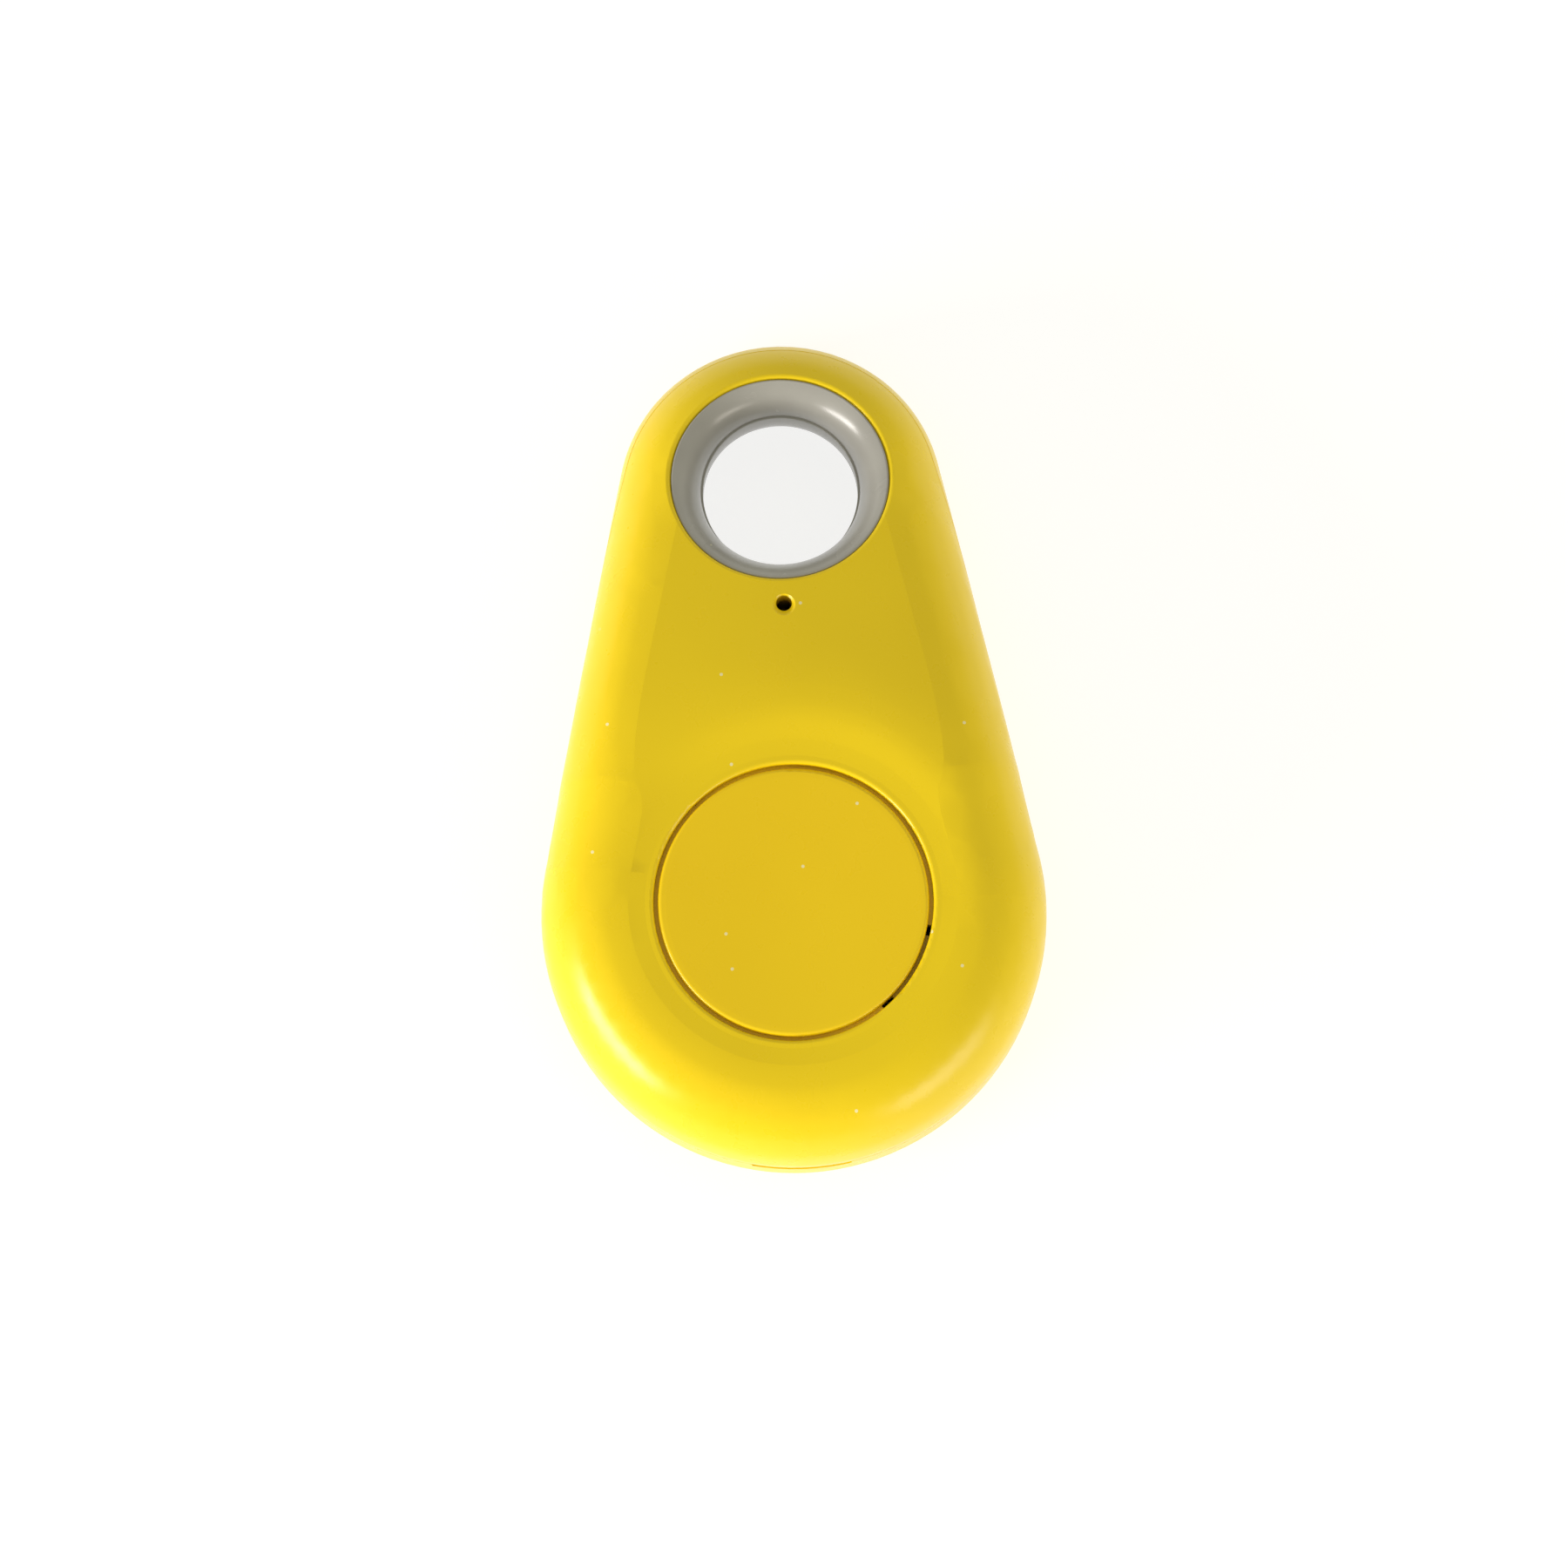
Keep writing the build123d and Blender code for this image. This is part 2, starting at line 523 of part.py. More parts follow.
def buzzer_diaphragm():
    """Thin steel disc held over the pole, on a ledge of the ring round the magnet."""
    low = BOARD_TOP + BUZZER_FLOOR + POLE_HEIGHT + DIAPHRAGM_GAP
    return rod(BUZZER_ROOM, low, low + DIAPHRAGM_SHEET, y=BUZZER_Y)


def buzzer_spacer():
    """Ring that carries the diaphragm's edge."""
    low = BOARD_TOP + BUZZER_FLOOR
    high = low + POLE_HEIGHT + DIAPHRAGM_GAP
    return ring(MAGNET_OUTER, BUZZER_ROOM, low, high, y=BUZZER_Y)


def buzzer_terminals():
    """Solder lands at the sounder's corners."""
    side = BUZZER_SIDE / 2
    lands = []
    for x in (-1, 1):
        for y in (-1, 1):
            out = x * (side + LEG[2] / 2)
            along = BUZZER_Y + y * (side - BUZZER_LAND[1])
            lands.append(on_board(out, along, 0, BUZZER_LAND_TOP, LEG[2], BUZZER_LAND[0]))
    return Compound(children=lands)


def led_base():
    """Base of the indicator light with its two lands."""
    return on_board(0, LED_Y, 0, LED[2] / 2, LED[0], LED[1])


def led_lens():
    """Clear lens of the indicator light, under its hole."""
    return on_board(0, LED_Y, LED[2] / 2, LED[2], LED[0] * 0.75, LED[1])


def chip(size, x, y):
    """A square chip that stands just above the board on its lands."""
    return on_board(x, y, LAND, size[2], size[0], size[1])


def radio_chip():
    """Radio chip."""
    return chip(CHIP, *CHIP_AT)


def chip_lands():
    """Rows of solder lands along the four sides of the radio chip."""
    lands = []
    x, y = CHIP_AT
    for i in range(CHIP_ROW):
        step = (i - (CHIP_ROW - 1) / 2) * CHIP_PITCH
        for side in (-1, 1):
            out = side * (CHIP[0] - LAND_LENGTH) / 2
            lands.append(on_board(x + out, y + step, 0, LAND, LAND_LENGTH, LAND_WIDTH))
            lands.append(on_board(x + step, y + out, 0, LAND, LAND_WIDTH, LAND_LENGTH))
    return Compound(children=lands)


def crystal():
    """Clock crystal in its metal can."""
    can = on_board(*CRYSTAL_AT, 0, CRYSTAL[2], CRYSTAL[0], CRYSTAL[1])
    return chamfer(can.edges().filter_by(Axis.Z), CRYSTAL_CORNER)


def transistor():
    """Small transistor that drives the sounder."""
    return on_board(*TRANSISTOR_AT, LAND, TRANSISTOR[2], TRANSISTOR[0], TRANSISTOR[1])


def transistor_leads():
    """Its three leads."""
    x, y = TRANSISTOR_AT
    reach = TRANSISTOR[1] / 2
    leads = []
    for place, side in ((-0.95, -1), (0.95, -1), (0, 1)):
        low = on_board(x + place, y + side * (reach + 0.25), 0, LEG[2], 0.4, 0.5)
        rise = on_board(x + place, y + side * (reach + LEG[2] / 2), 0, TRANSISTOR[2] / 2, 0.4, LEG[2])
        leads.append(low + rise)
    return Compound(children=leads)


def small_bodies(places):
    """The ceramic middles of a set of two-ended parts."""
    length, width, height = CHIP_PART
    body = Pos(0, 0, BOARD_TOP + height / 2) * Box(length - 2 * END_CAP, width, height)
    return Compound(children=[at(x, y) * Rot(0, 0, turn) * body for x, y, turn in places])


def small_ends(places):
    """The soldered end caps of a set of two-ended parts."""
    length, width, height = CHIP_PART
    reach = (length - END_CAP) / 2
    end = Box(END_CAP, width, height)
    return Compound(children=[
        at(x, y) * Rot(0, 0, turn) * Pos(side * reach, 0, BOARD_TOP + height / 2) * end
        for x, y, turn in places for side in (-1, 1)])


def antenna_trace():
    """Copper antenna folded up and down on the board, beside the sounder."""
    x0, y0, y1 = ANTENNA_AT
    high = BOARD_TOP + COPPER
    half = TRACE / 2
    turns = []
    for i in range(ANTENNA_RUNS):
        x = x0 + i * ANTENNA_PITCH
        turns.append(block(x - half, x + half, y0, y1, BOARD_TOP, high))
        if i:
            end, inner = (y1, y1 - TRACE) if i % 2 else (y0, y0 + TRACE)
            turns.append(block(x - ANTENNA_PITCH - half, x + half, end, inner, BOARD_TOP, high))
    return Part() + turns


def negative_contact():
    """Gold-plated pad under the board that the cell's cap touches."""
    return rod(CONTACT_RADIUS, BOARD_LOW - COPPER, BOARD_LOW)


def battery_strap():
    """Steel strap that carries the cell: two legs with soldered feet, and a stop."""
    low = CELL_LOW - FIT_CLEARANCE - STRAP_SHEET
    side = CELL_RADIUS + STRAP_CLEARANCE
    wide = side + STRAP_SHEET
    y0, y1 = STRAP_Y
    strap = block(-wide, wide, y0, y1, low, low + STRAP_SHEET)
    for x in (-1, 1):
        strap += block(x * side, x * wide, y0, y1, low, BOARD_LOW)
        strap += block(x * side, x * (side + STRAP_FOOT), y0, y1, BOARD_LOW - STRAP_SHEET, BOARD_LOW)
    half = STRAP_STOP_WIDTH / 2
    strap += block(-half, half, y1, wide, low, low + STRAP_SHEET)
    return strap + block(-half, half, side, wide, low, CELL_LOW + STRAP_STOP_HEIGHT)


def cell_can():
    """Steel can of the coin cell: its plus side, crimped in at the top."""
    inner = CELL_RADIUS - CAN_SHEET
    high = CELL_TOP - CAN_DROP
    can = rod(CELL_RADIUS, CELL_LOW, high)
    can = fillet(can.edges().sort_by(Axis.Z)[0], CAN_ROUND)
    return can - rod(inner, CELL_LOW + CAN_SHEET, BIG)


def cell_cap():
    """Steel cap of the coin cell: its minus side, towards the board."""
    cap = rod(CAP_RADIUS, CELL_TOP - CAP_HEIGHT, CELL_TOP)
    cap = fillet(cap.edges().sort_by(Axis.Z)[-1], CAN_SHEET * 0.8)
    return cap - rod(CAP_RADIUS - CAN_SHEET, 0, CELL_TOP - CAN_SHEET)


def cell_seal():
    """Gasket between the can and the cap."""
    inner = CELL_RADIUS - CAN_SHEET
    high = CELL_TOP - CAN_DROP
    return ring(CAP_RADIUS, inner, CELL_LOW + CAN_SHEET, high)


def cell_cathode():
    """Pressed black pellet on the plus side."""
    low = CELL_LOW + CAN_SHEET
    return rod(CAP_RADIUS - CAN_SHEET - FIT_CLEARANCE, low, low + CATHODE_HEIGHT)


def cell_anode():
    """Lithium disc on the minus side."""
    high = CELL_TOP - CAN_SHEET
    return rod(CAP_RADIUS - CAN_SHEET - FIT_CLEARANCE, high - ANODE_HEIGHT, high)


def main():
    os.makedirs("parts", exist_ok=True)
    pieces = {
        "front_cover": front_cover,
        "rear_cover": rear_cover,
        "eyelet_liner": eyelet_liner,
        "button_cap": button_cap,
        "circuit_board": circuit_board,
        "switch_base": switch_base,
        "switch_dome": switch_dome,
        "switch_plunger": switch_plunger,
        "switch_plate": switch_plate,
        "switch_terminals": switch_terminals,
        "buzzer_case": buzzer_case,
        "buzzer_base": buzzer_base,
        "buzzer_pole": buzzer_pole,
        "buzzer_coil": buzzer_coil,
        "buzzer_magnet": buzzer_magnet,
        "buzzer_spacer": buzzer_spacer,
        "buzzer_diaphragm": buzzer_diaphragm,
        "buzzer_terminals": buzzer_terminals,
        "led_base": led_base,
        "led_lens": led_lens,
        "radio_chip": radio_chip,
        "chip_lands": chip_lands,
        "crystal": crystal,
        "transistor": transistor,
        "transistor_leads": transistor_leads,
        "capacitor_bodies": lambda: small_bodies(CAPACITORS),
        "capacitor_ends": lambda: small_ends(CAPACITORS),
        "resistor_bodies": lambda: small_bodies(ALL_RESISTORS),
        "resistor_ends": lambda: small_ends(ALL_RESISTORS),
        "antenna_trace": antenna_trace,
        "negative_contact": negative_contact,
        "battery_strap": battery_strap,
        "cell_can": cell_can,
        "cell_cap": cell_cap,
        "cell_seal": cell_seal,
        "cell_cathode": cell_cathode,
        "cell_anode": cell_anode,
    }
    for name, make in pieces.items():
        export_step(make(), f"parts/{name}.step")


main()
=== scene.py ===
"""Looks of a teardrop key-finder tag: satin yellow shells, a grey flared eyelet, a big press button."""

import json
import math

import bmesh
import bpy
import numpy as np
from bpy.props import FloatProperty, FloatVectorProperty, IntProperty, PointerProperty
from mathutils import Matrix, Vector


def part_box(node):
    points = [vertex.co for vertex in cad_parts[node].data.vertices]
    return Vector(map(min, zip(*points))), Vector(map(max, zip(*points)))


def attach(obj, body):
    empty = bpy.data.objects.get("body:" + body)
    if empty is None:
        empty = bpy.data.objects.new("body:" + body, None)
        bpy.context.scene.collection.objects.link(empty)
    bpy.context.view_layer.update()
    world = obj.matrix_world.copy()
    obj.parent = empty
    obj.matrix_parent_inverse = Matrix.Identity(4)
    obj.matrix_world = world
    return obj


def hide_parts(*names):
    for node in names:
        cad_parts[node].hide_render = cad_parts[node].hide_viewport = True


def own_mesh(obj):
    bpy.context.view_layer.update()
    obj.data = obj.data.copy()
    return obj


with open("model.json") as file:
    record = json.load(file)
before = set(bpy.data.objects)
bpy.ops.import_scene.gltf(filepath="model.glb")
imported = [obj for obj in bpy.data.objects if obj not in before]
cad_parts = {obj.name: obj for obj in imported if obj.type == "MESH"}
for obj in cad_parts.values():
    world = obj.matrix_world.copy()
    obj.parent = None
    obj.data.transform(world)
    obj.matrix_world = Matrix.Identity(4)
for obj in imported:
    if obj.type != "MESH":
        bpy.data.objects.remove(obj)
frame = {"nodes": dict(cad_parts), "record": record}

bl_info = {
    "name": "Key-finder tag",
    "version": (1, 0, 0),
    "blender": (4, 5, 0),
    "location": "View3D > Sidebar > Tag",
    "description": "Finishes a teardrop key-finder tag and builds its small studio",
    "category": "Object",
}

MM = 0.001
WELD = 1e-7
CREASE = math.radians(38)
UP = np.array((0.0, 0.0, 1.0))
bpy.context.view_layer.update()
MOUNTS = {mount["name"]: mount for mount in frame["record"]["mounts"]}
EYELET = np.array(MOUNTS["eyelet_bore"]["pos_m"])
WAIST_RADIUS = MOUNTS["eyelet_bore"]["dims"]["r_mm"] * MM
BUTTON = (np.array(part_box("button_cap")[0]) + np.array(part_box("button_cap")[1])) / 2.0

BELL_SWEEP = math.radians(72)     # part of a quarter ellipse in each bell mouth
LIP_SWEEP = math.radians(122)     # turn of the rim's rounding where the bell mouth meets it
RIM_ARC = 115                     # degrees of that rounding which are drawn
EDGE_REACH = 0.01 * MM            # how near a point is to a cylinder that it lies on


# ---- sizes and colours that a user would change ----

def length(name, description, millimetres):
    return FloatProperty(name=name, description=description, default=millimetres * MM, unit="LENGTH")


def colour(name, description, linear):
    return FloatVectorProperty(name=name, description=description, default=linear, subtype="COLOR")


def angle(name, description, degrees):
    return FloatProperty(name=name, description=description, default=math.radians(degrees), subtype="ANGLE")


class TagForm(bpy.types.PropertyGroup):
    """Sizes of the pieces made here. Their places come from the CAD frame."""

    rim_round: length("Rim round", "Rounding of the liner's thin rims", 0.1)
    rim_fit: length("Rim fit", "How far the rims fill their gap to the shells", 0.04)
    waist_length: length("Waist length", "Straight part of the eyelet", 1.1)
    waist_step: length("Waist step", "Moulding step above the waist", 0.12)
    seam: length("Seam", "Height where the two shells meet", 5.1)
    collar_height: length("Collar height", "Collar trapped between the shells", 1.4)
    collar_reach: length("Collar reach", "Collar beyond the liner's wall", 0.55)
    sheet: length("Strap sheet", "Thickness of the battery strap", 0.2)
    bend: length("Strap bend", "Inner radius of the strap's bends", 0.25)
    strap_leg: length("Strap leg", "Outer face of a leg from the middle", 10.35)
    strap_start: length("Strap start", "Tail end of the strap, from the button's axis", -3.0)
    strap_end: length("Strap end", "Eyelet end of the strap, from the button's axis", 4.0)
    stop_width: length("Stop width", "Width of the arm that stops the cell", 6.0)
    stop_top: length("Stop top", "Top of the upturned stop", 3.55)
    floor: length("Rear floor", "Inner floor of the rear shell", 1.4)
    can_sheet: length("Can sheet", "Thickness of the cell's steel", 0.25)
    dome_sheet: length("Dome sheet", "Thickness of the snap dome", 0.06)
    press: length("Press", "How far the plunger pushes the dome down", 0.25)
    copper: length("Copper", "Thickness of copper and print on the board", 0.02)
    columns: IntProperty(
        name="Columns", description="Faces round a turned piece", default=192, min=24)


class TagFinish(bpy.types.PropertyGroup):
    """Colours of the finishes, as linear values."""

    shell_light: colour("Shell, light", "Brightest yellow of the shells", (0.90, 0.655, 0.006))
    shell_dark: colour("Shell, dark", "Deepest yellow of the shells", (0.86, 0.62, 0.005))
    button_light: colour("Button, light", "Brightest yellow of the button", (0.92, 0.64, 0.006))
    button_dark: colour("Button, dark", "Deepest yellow of the button", (0.89, 0.61, 0.005))
    dust: colour("Dust", "Dust specks on the plastic", (0.9, 0.85, 0.55))
    liner_light: colour("Liner, light", "Lightest grey of the liner", (0.42, 0.41, 0.385))
    liner_dark: colour("Liner, dark", "Deepest grey of the liner", (0.36, 0.35, 0.33))
    mask: colour("Solder mask", "Green coat of the board", (0.008, 0.09, 0.035))
    laminate: colour("Laminate", "Bare glass laminate at the board's edge", (0.42, 0.36, 0.16))


class TagStudio(bpy.types.PropertyGroup):
    """Camera and lights."""

    tilt: angle("Camera tilt", "Camera's lean towards the tail", 9.85)
    roll: angle("Camera roll", "Turn of the picture", 1.84)
    aim_up: angle("Aim up", "How far the camera aims above the button", 1.543)
    aim_left: angle("Aim left", "How far the camera aims left of the button", 0.125)
    distance: FloatProperty(
        name="Camera distance", description="From the camera to the button", default=0.26, unit="LENGTH")
    lens: FloatProperty(name="Lens", description="Focal length in millimetres", default=100.2)
    key_power: FloatProperty(name="Key power", description="Left softbox, in watts", default=2.4)
    fill_power: FloatProperty(name="Fill power", description="Right softbox, in watts", default=0.8)
    sky: FloatProperty(
        name="Surround", description="Strength of the white surround near the table", default=0.60)
    zenith: FloatProperty(name="Overhead", description="Strength of the surround overhead", default=0.52)
    table_glow: FloatProperty(name="Table glow", description="Glow of the lit white table", default=0.76)


# ---- materials ----

class Finish:
    """A new material whose Principled shader is set socket by socket, with helpers for its nodes."""

    def __init__(self, name, **sockets):
        self.material = bpy.data.materials.new(name)
        self.material.use_nodes = True
        self.nodes = self.material.node_tree.nodes
        self.links = self.material.node_tree.links
        self.shader = self.nodes["Principled BSDF"]
        self.place = self.nodes.new("ShaderNodeTexCoord").outputs["Object"]
        for socket, value in sockets.items():
            self.shader.inputs[socket.replace("_", " ")].default_value = value

    def noise(self, scale, detail=3.0, source=None):
        """Noise over the object, scale in features per metre."""
        node = self.nodes.new("ShaderNodeTexNoise")
        node.inputs["Scale"].default_value = scale
        node.inputs["Detail"].default_value = detail
        self.links.new(source or self.place, node.inputs["Vector"])
        return node.outputs["Fac"]

    def ramp(self, value, low, high, first=0.0, last=1.0):
        """value, taken from low..high to first..last and held there."""
        node = self.nodes.new("ShaderNodeMapRange")
        for socket, number in zip(("From Min", "From Max", "To Min", "To Max"), (low, high, first, last)):
            node.inputs[socket].default_value = number
        self.links.new(value, node.inputs["Value"])
        return node.outputs["Result"]

    def sum(self, operation, first, second):
        """Arithmetic on two values, each a socket or a number."""
        node = self.nodes.new("ShaderNodeMath")
        node.operation = operation
        for socket, value in zip(node.inputs, (first, second)):
            if isinstance(value, bpy.types.NodeSocket):
                self.links.new(value, socket)
            else:
                socket.default_value = value
        return node.outputs["Value"]

    def blend(self, value, first, second):
        """A colour between two others, each a socket or three numbers."""
        node = self.nodes.new("ShaderNodeMix")
        node.data_type = "RGBA"
        colour_a, colour_b = node.inputs[6], node.inputs[7]
        for socket, colour in ((colour_a, first), (colour_b, second)):
            if isinstance(colour, bpy.types.NodeSocket):
                self.links.new(colour, socket)
            else:
                socket.default_value = (*colour, 1.0)
        self.links.new(value, node.inputs["Factor"])
        return node.outputs[2]

    def facing_up(self, low=0.5, high=0.7):
        """1 on faces that look up, 0 on walls."""
        normal = self.nodes.new("ShaderNodeNewGeometry").outputs["Normal"]
        split = self.nodes.new("ShaderNodeSeparateXYZ")
        self.links.new(normal, split.inputs["Vector"])
        return self.ramp(split.outputs["Z"], low, high)

    def moved(self, centre):
        """Object coordinates counted from a point."""
        node = self.nodes.new("ShaderNodeMapping")
        node.inputs["Location"].default_value = [-number for number in centre]
        self.links.new(self.place, node.inputs["Vector"])
        return node.outputs["Vector"]

    def rings(self, centre, scale):
        """Concentric turning marks round an upright axis."""
        node = self.nodes.new("ShaderNodeTexWave")
        node.wave_type = "RINGS"
        node.rings_direction = "Z"
        node.inputs["Scale"].default_value = scale
        node.inputs["Distortion"].default_value = 1.5
        node.inputs["Detail"].default_value = 2.0
        self.links.new(self.moved(centre), node.inputs["Vector"])
        return node.outputs["Fac"]

    def specks(self, cells, radius, share):
        """Sparse round specks seen from above.

        There are cells per metre, of which a share holds one speck each, and radius is in metres.
        """
        node = self.nodes.new("ShaderNodeTexVoronoi")
        node.voronoi_dimensions = "2D"
        node.inputs["Scale"].default_value = cells
        self.links.new(self.place, node.inputs["Vector"])
        near = self.sum("LESS_THAN", node.outputs["Distance"], radius * cells)
        split = self.nodes.new("ShaderNodeSeparateColor")
        self.links.new(node.outputs["Color"], split.inputs["Color"])
        chosen = self.sum("LESS_THAN", split.outputs["Red"], share)
        return self.sum("MULTIPLY", self.sum("MULTIPLY", near, chosen), self.facing_up())

    def colour(self, value):
        self.links.new(value, self.shader.inputs["Base Color"])
        return self

    def roughness(self, value):
        self.links.new(value, self.shader.inputs["Roughness"])
        return self

    def bump(self, height, distance):
        """Surface relief: height 0..1 stands for distance in metres."""
        node = self.nodes.new("ShaderNodeBump")
        node.inputs["Distance"].default_value = distance
        self.links.new(height, node.inputs["Height"])
        self.links.new(node.outputs["Normal"], self.shader.inputs["Normal"])
        return self


def satin_plastic(name, light, dark, dust):
    """Satin moulded plastic: slow shift of colour, a fine grain and a few dust specks."""
    finish = Finish(name, IOR=1.48, Specular_IOR_Level=0.38)
    body = finish.blend(finish.ramp(finish.noise(70.0, 2.0), 0.35, 0.65), dark, light)
    specks = finish.specks(150.0, 0.10 * MM, 0.6)
    finish.colour(finish.blend(finish.sum("MULTIPLY", specks, 0.75), body, dust))
    finish.roughness(finish.ramp(finish.noise(700.0), 0.3, 0.7, 0.26, 0.32))
    grain = finish.sum("ADD", finish.noise(8000.0, 2.0), finish.sum("MULTIPLY", specks, 1.5))
    return finish.bump(grain, 0.0015 * MM).material


def liner_plastic(name, light, dark, dust):
    """Glossier grey plastic of the eyelet, with a cloudy shift of colour, a fine grain and a few dust
    specks.
    """
    finish = Finish(name, IOR=1.5)
    body = finish.blend(finish.ramp(finish.noise(160.0, 3.0), 0.35, 0.65), dark, light)
    specks = finish.specks(420.0, 0.06 * MM, 0.2)
    finish.colour(finish.blend(finish.sum("MULTIPLY", specks, 0.6), body, dust))
    finish.roughness(finish.ramp(finish.noise(500.0), 0.3, 0.7, 0.23, 0.28))
    return finish.bump(finish.noise(5000.0, 2.0), 0.0008 * MM).material


def plain_plastic(name, light, dark, roughness):
    """Small moulded or fired parts: mottled colour and a matt grain."""
    finish = Finish(name, IOR=1.5)
    finish.colour(finish.blend(finish.ramp(finish.noise(1200.0), 0.35, 0.65), dark, light))
    finish.roughness(finish.ramp(finish.noise(2500.0), 0.3, 0.7, roughness - 0.06, roughness + 0.06))
    return finish.bump(finish.noise(9000.0, 2.0), 0.002 * MM).material


def rolled_metal(name, light, dark, roughness, grain=(1.0, 0.06, 1.0), scale=6000.0):
    """Sheet metal: fine rolling marks along one direction and cloudy reflections."""
    finish = Finish(name, Metallic=1.0)
    stretch = finish.nodes.new("ShaderNodeMapping")
    stretch.inputs["Scale"].default_value = grain
    finish.links.new(finish.place, stretch.inputs["Vector"])
    marks = finish.noise(scale, 2.0, stretch.outputs["Vector"])
    finish.colour(finish.blend(finish.ramp(finish.noise(300.0), 0.3, 0.7), dark, light))
    finish.roughness(finish.ramp(marks, 0.3, 0.7, roughness - 0.07, roughness + 0.07))
    return finish.bump(marks, 0.0012 * MM).material


def turned_metal(name, light, dark, roughness, centre):
    """Drawn steel with faint rings round its axis."""
    finish = Finish(name, Metallic=1.0)
    rings = finish.rings(centre, 1800.0)
    finish.colour(finish.blend(finish.ramp(finish.noise(260.0), 0.3, 0.7), dark, light))
    finish.roughness(finish.ramp(rings, 0.0, 1.0, roughness - 0.05, roughness + 0.05))
    return finish.bump(rings, 0.0008 * MM).material


def board_laminate(name, mask, laminate):
    """Green solder mask on both faces, bare laminate with its glass weave on the edge."""
    finish = Finish(name, IOR=1.5)
    faces = finish.sum("MAXIMUM", finish.facing_up(), finish.facing_up(-0.5, -0.7))
    cloudy = finish.ramp(finish.noise(240.0), 0.3, 0.7)
    green = finish.blend(cloudy, mask, [number * 1.5 for number in mask])
    weave = finish.ramp(finish.noise(2600.0, 1.0), 0.4, 0.6)
    edge = finish.blend(weave, laminate, [number * 0.7 for number in laminate])
    finish.colour(finish.blend(faces, edge, green))
    finish.roughness(finish.ramp(faces, 0.0, 1.0, 0.7, 0.28))
    return finish.bump(finish.noise(2200.0, 2.0), 0.004 * MM).material


def clear_resin(name):
    """Cloudy clear resin over the light's chip."""
    finish = Finish(name, IOR=1.5, Roughness=0.12, Transmission_Weight=0.75)
    milk = finish.ramp(finish.noise(900.0), 0.35, 0.65)
    return finish.colour(finish.blend(milk, (0.85, 0.86, 0.8), (0.95, 0.95, 0.9))).material


def enamelled_wire(name, centre):
    """Coil of fine copper wire: close turns as rings up its side, with painted shade in the grooves between
    turns.
    """
    finish = Finish(name, Metallic=0.85)
    node = finish.nodes.new("ShaderNodeTexWave")
    node.bands_direction = "Z"
    node.inputs["Scale"].default_value = 5000.0
    finish.links.new(finish.moved(centre), node.inputs["Vector"])
    turns = node.outputs["Fac"]
    # The colour darkens towards the grooves between turns: painted shade in those creases.
    finish.colour(finish.blend(turns, (0.30, 0.09, 0.03), (0.72, 0.30, 0.12)))
    finish.roughness(finish.ramp(turns, 0.0, 1.0, 0.45, 0.3))
    return finish.bump(turns, 0.02 * MM).material


def dress(material, *nodes):
    """Gives CAD nodes their material."""
    for node in nodes:
        piece = frame["nodes"][node]
        piece.data.materials.clear()
        piece.data.materials.append(material)


# ---- surfaces ----

def cad_points(node):
    """A CAD node's vertices as rows of x, y, z."""
    mesh = frame["nodes"][node].data
    points = np.empty(len(mesh.vertices) * 3)
    mesh.vertices.foreach_get("co", points)
    return points.reshape(-1, 3)


def closed_grid(name, points, ends="joined"):
    """Closed skin over a grid of points (lines by columns): four-sided faces between neighbours.

    Each line closes on itself. The last line joins the first ("joined"), or both end lines are
    filled by one face each ("filled"), or they already meet the axis ("poles"). Doubled points
    are merged and all faces are turned outwards.
    """
    lines, columns = points.shape[:2]
    steps = lines if ends == "joined" else lines - 1
    i, j = np.meshgrid(np.arange(steps), np.arange(columns), indexing="ij")
    i_next, j_next = (i + 1) % lines, (j + 1) % columns
    corners = (i * columns + j, i * columns + j_next, i_next * columns + j_next, i_next * columns + j)
    faces = np.stack(corners, -1).reshape(-1, 4).tolist()
    if ends == "filled":
        faces.append(list(range(columns))[::-1])
        faces.append(list(range((lines - 1) * columns, lines * columns)))
    mesh = bpy.data.meshes.new(name)
    mesh.from_pydata(points.reshape(-1, 3).tolist(), [], faces)
    work = bmesh.new()
    work.from_mesh(mesh)
    bmesh.ops.remove_doubles(work, verts=work.verts, dist=WELD)
    bmesh.ops.recalc_face_normals(work, faces=work.faces)
    work.to_mesh(mesh)
    work.free()
    return softened(mesh)


def softened(mesh):
    """Smooth shading, with true creases left sharp."""
    mesh.polygons.foreach_set("use_smooth", np.ones(len(mesh.polygons), dtype=bool))
    mesh.set_sharp_from_angle(angle=CREASE)
    return mesh


def place(name, mesh, material, body, slot, *stands_for):
    """Puts a finished mesh into the scene on its CAD body."""
    mesh.materials.append(material)
    piece = bpy.data.objects.new(name, mesh)
    bpy.context.collection.objects.link(piece)
    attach(piece, body)
    if stands_for:
        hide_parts(*stands_for)
    return piece


def joined(name, meshes):
    """One mesh out of several loose ones."""
    work = bmesh.new()
    for mesh in meshes:
        work.from_mesh(mesh)
    whole = bpy.data.meshes.new(name)
    work.to_mesh(whole)
    work.free()
    for mesh in meshes:
        bpy.data.meshes.remove(mesh)
    return softened(whole)


def turned(name, profile, centre, columns, ends="poles"):
    """A profile of (radius, height) points turned about the upright axis through centre.

    x = cx + r cos(a), y = cy + r sin(a), z = height, with a once round the circle.
    """
    turn = np.linspace(0.0, 2.0 * math.pi, columns, endpoint=False)
    radius, height = np.asarray(profile, dtype=float).T[:, :, None]
    x = centre[0] + radius * np.cos(turn)
    y = centre[1] + radius * np.sin(turn)
    return closed_grid(name, np.stack((x, y, height + 0.0 * x), -1), ends)


def arc(centre, radius, start, end, steps=6):
    """Points on a circle from one angle to another, in degrees."""
    turn = np.radians(np.linspace(start, end, steps))
    return np.stack((centre[0] + radius * np.cos(turn), centre[1] + radius * np.sin(turn)), -1)


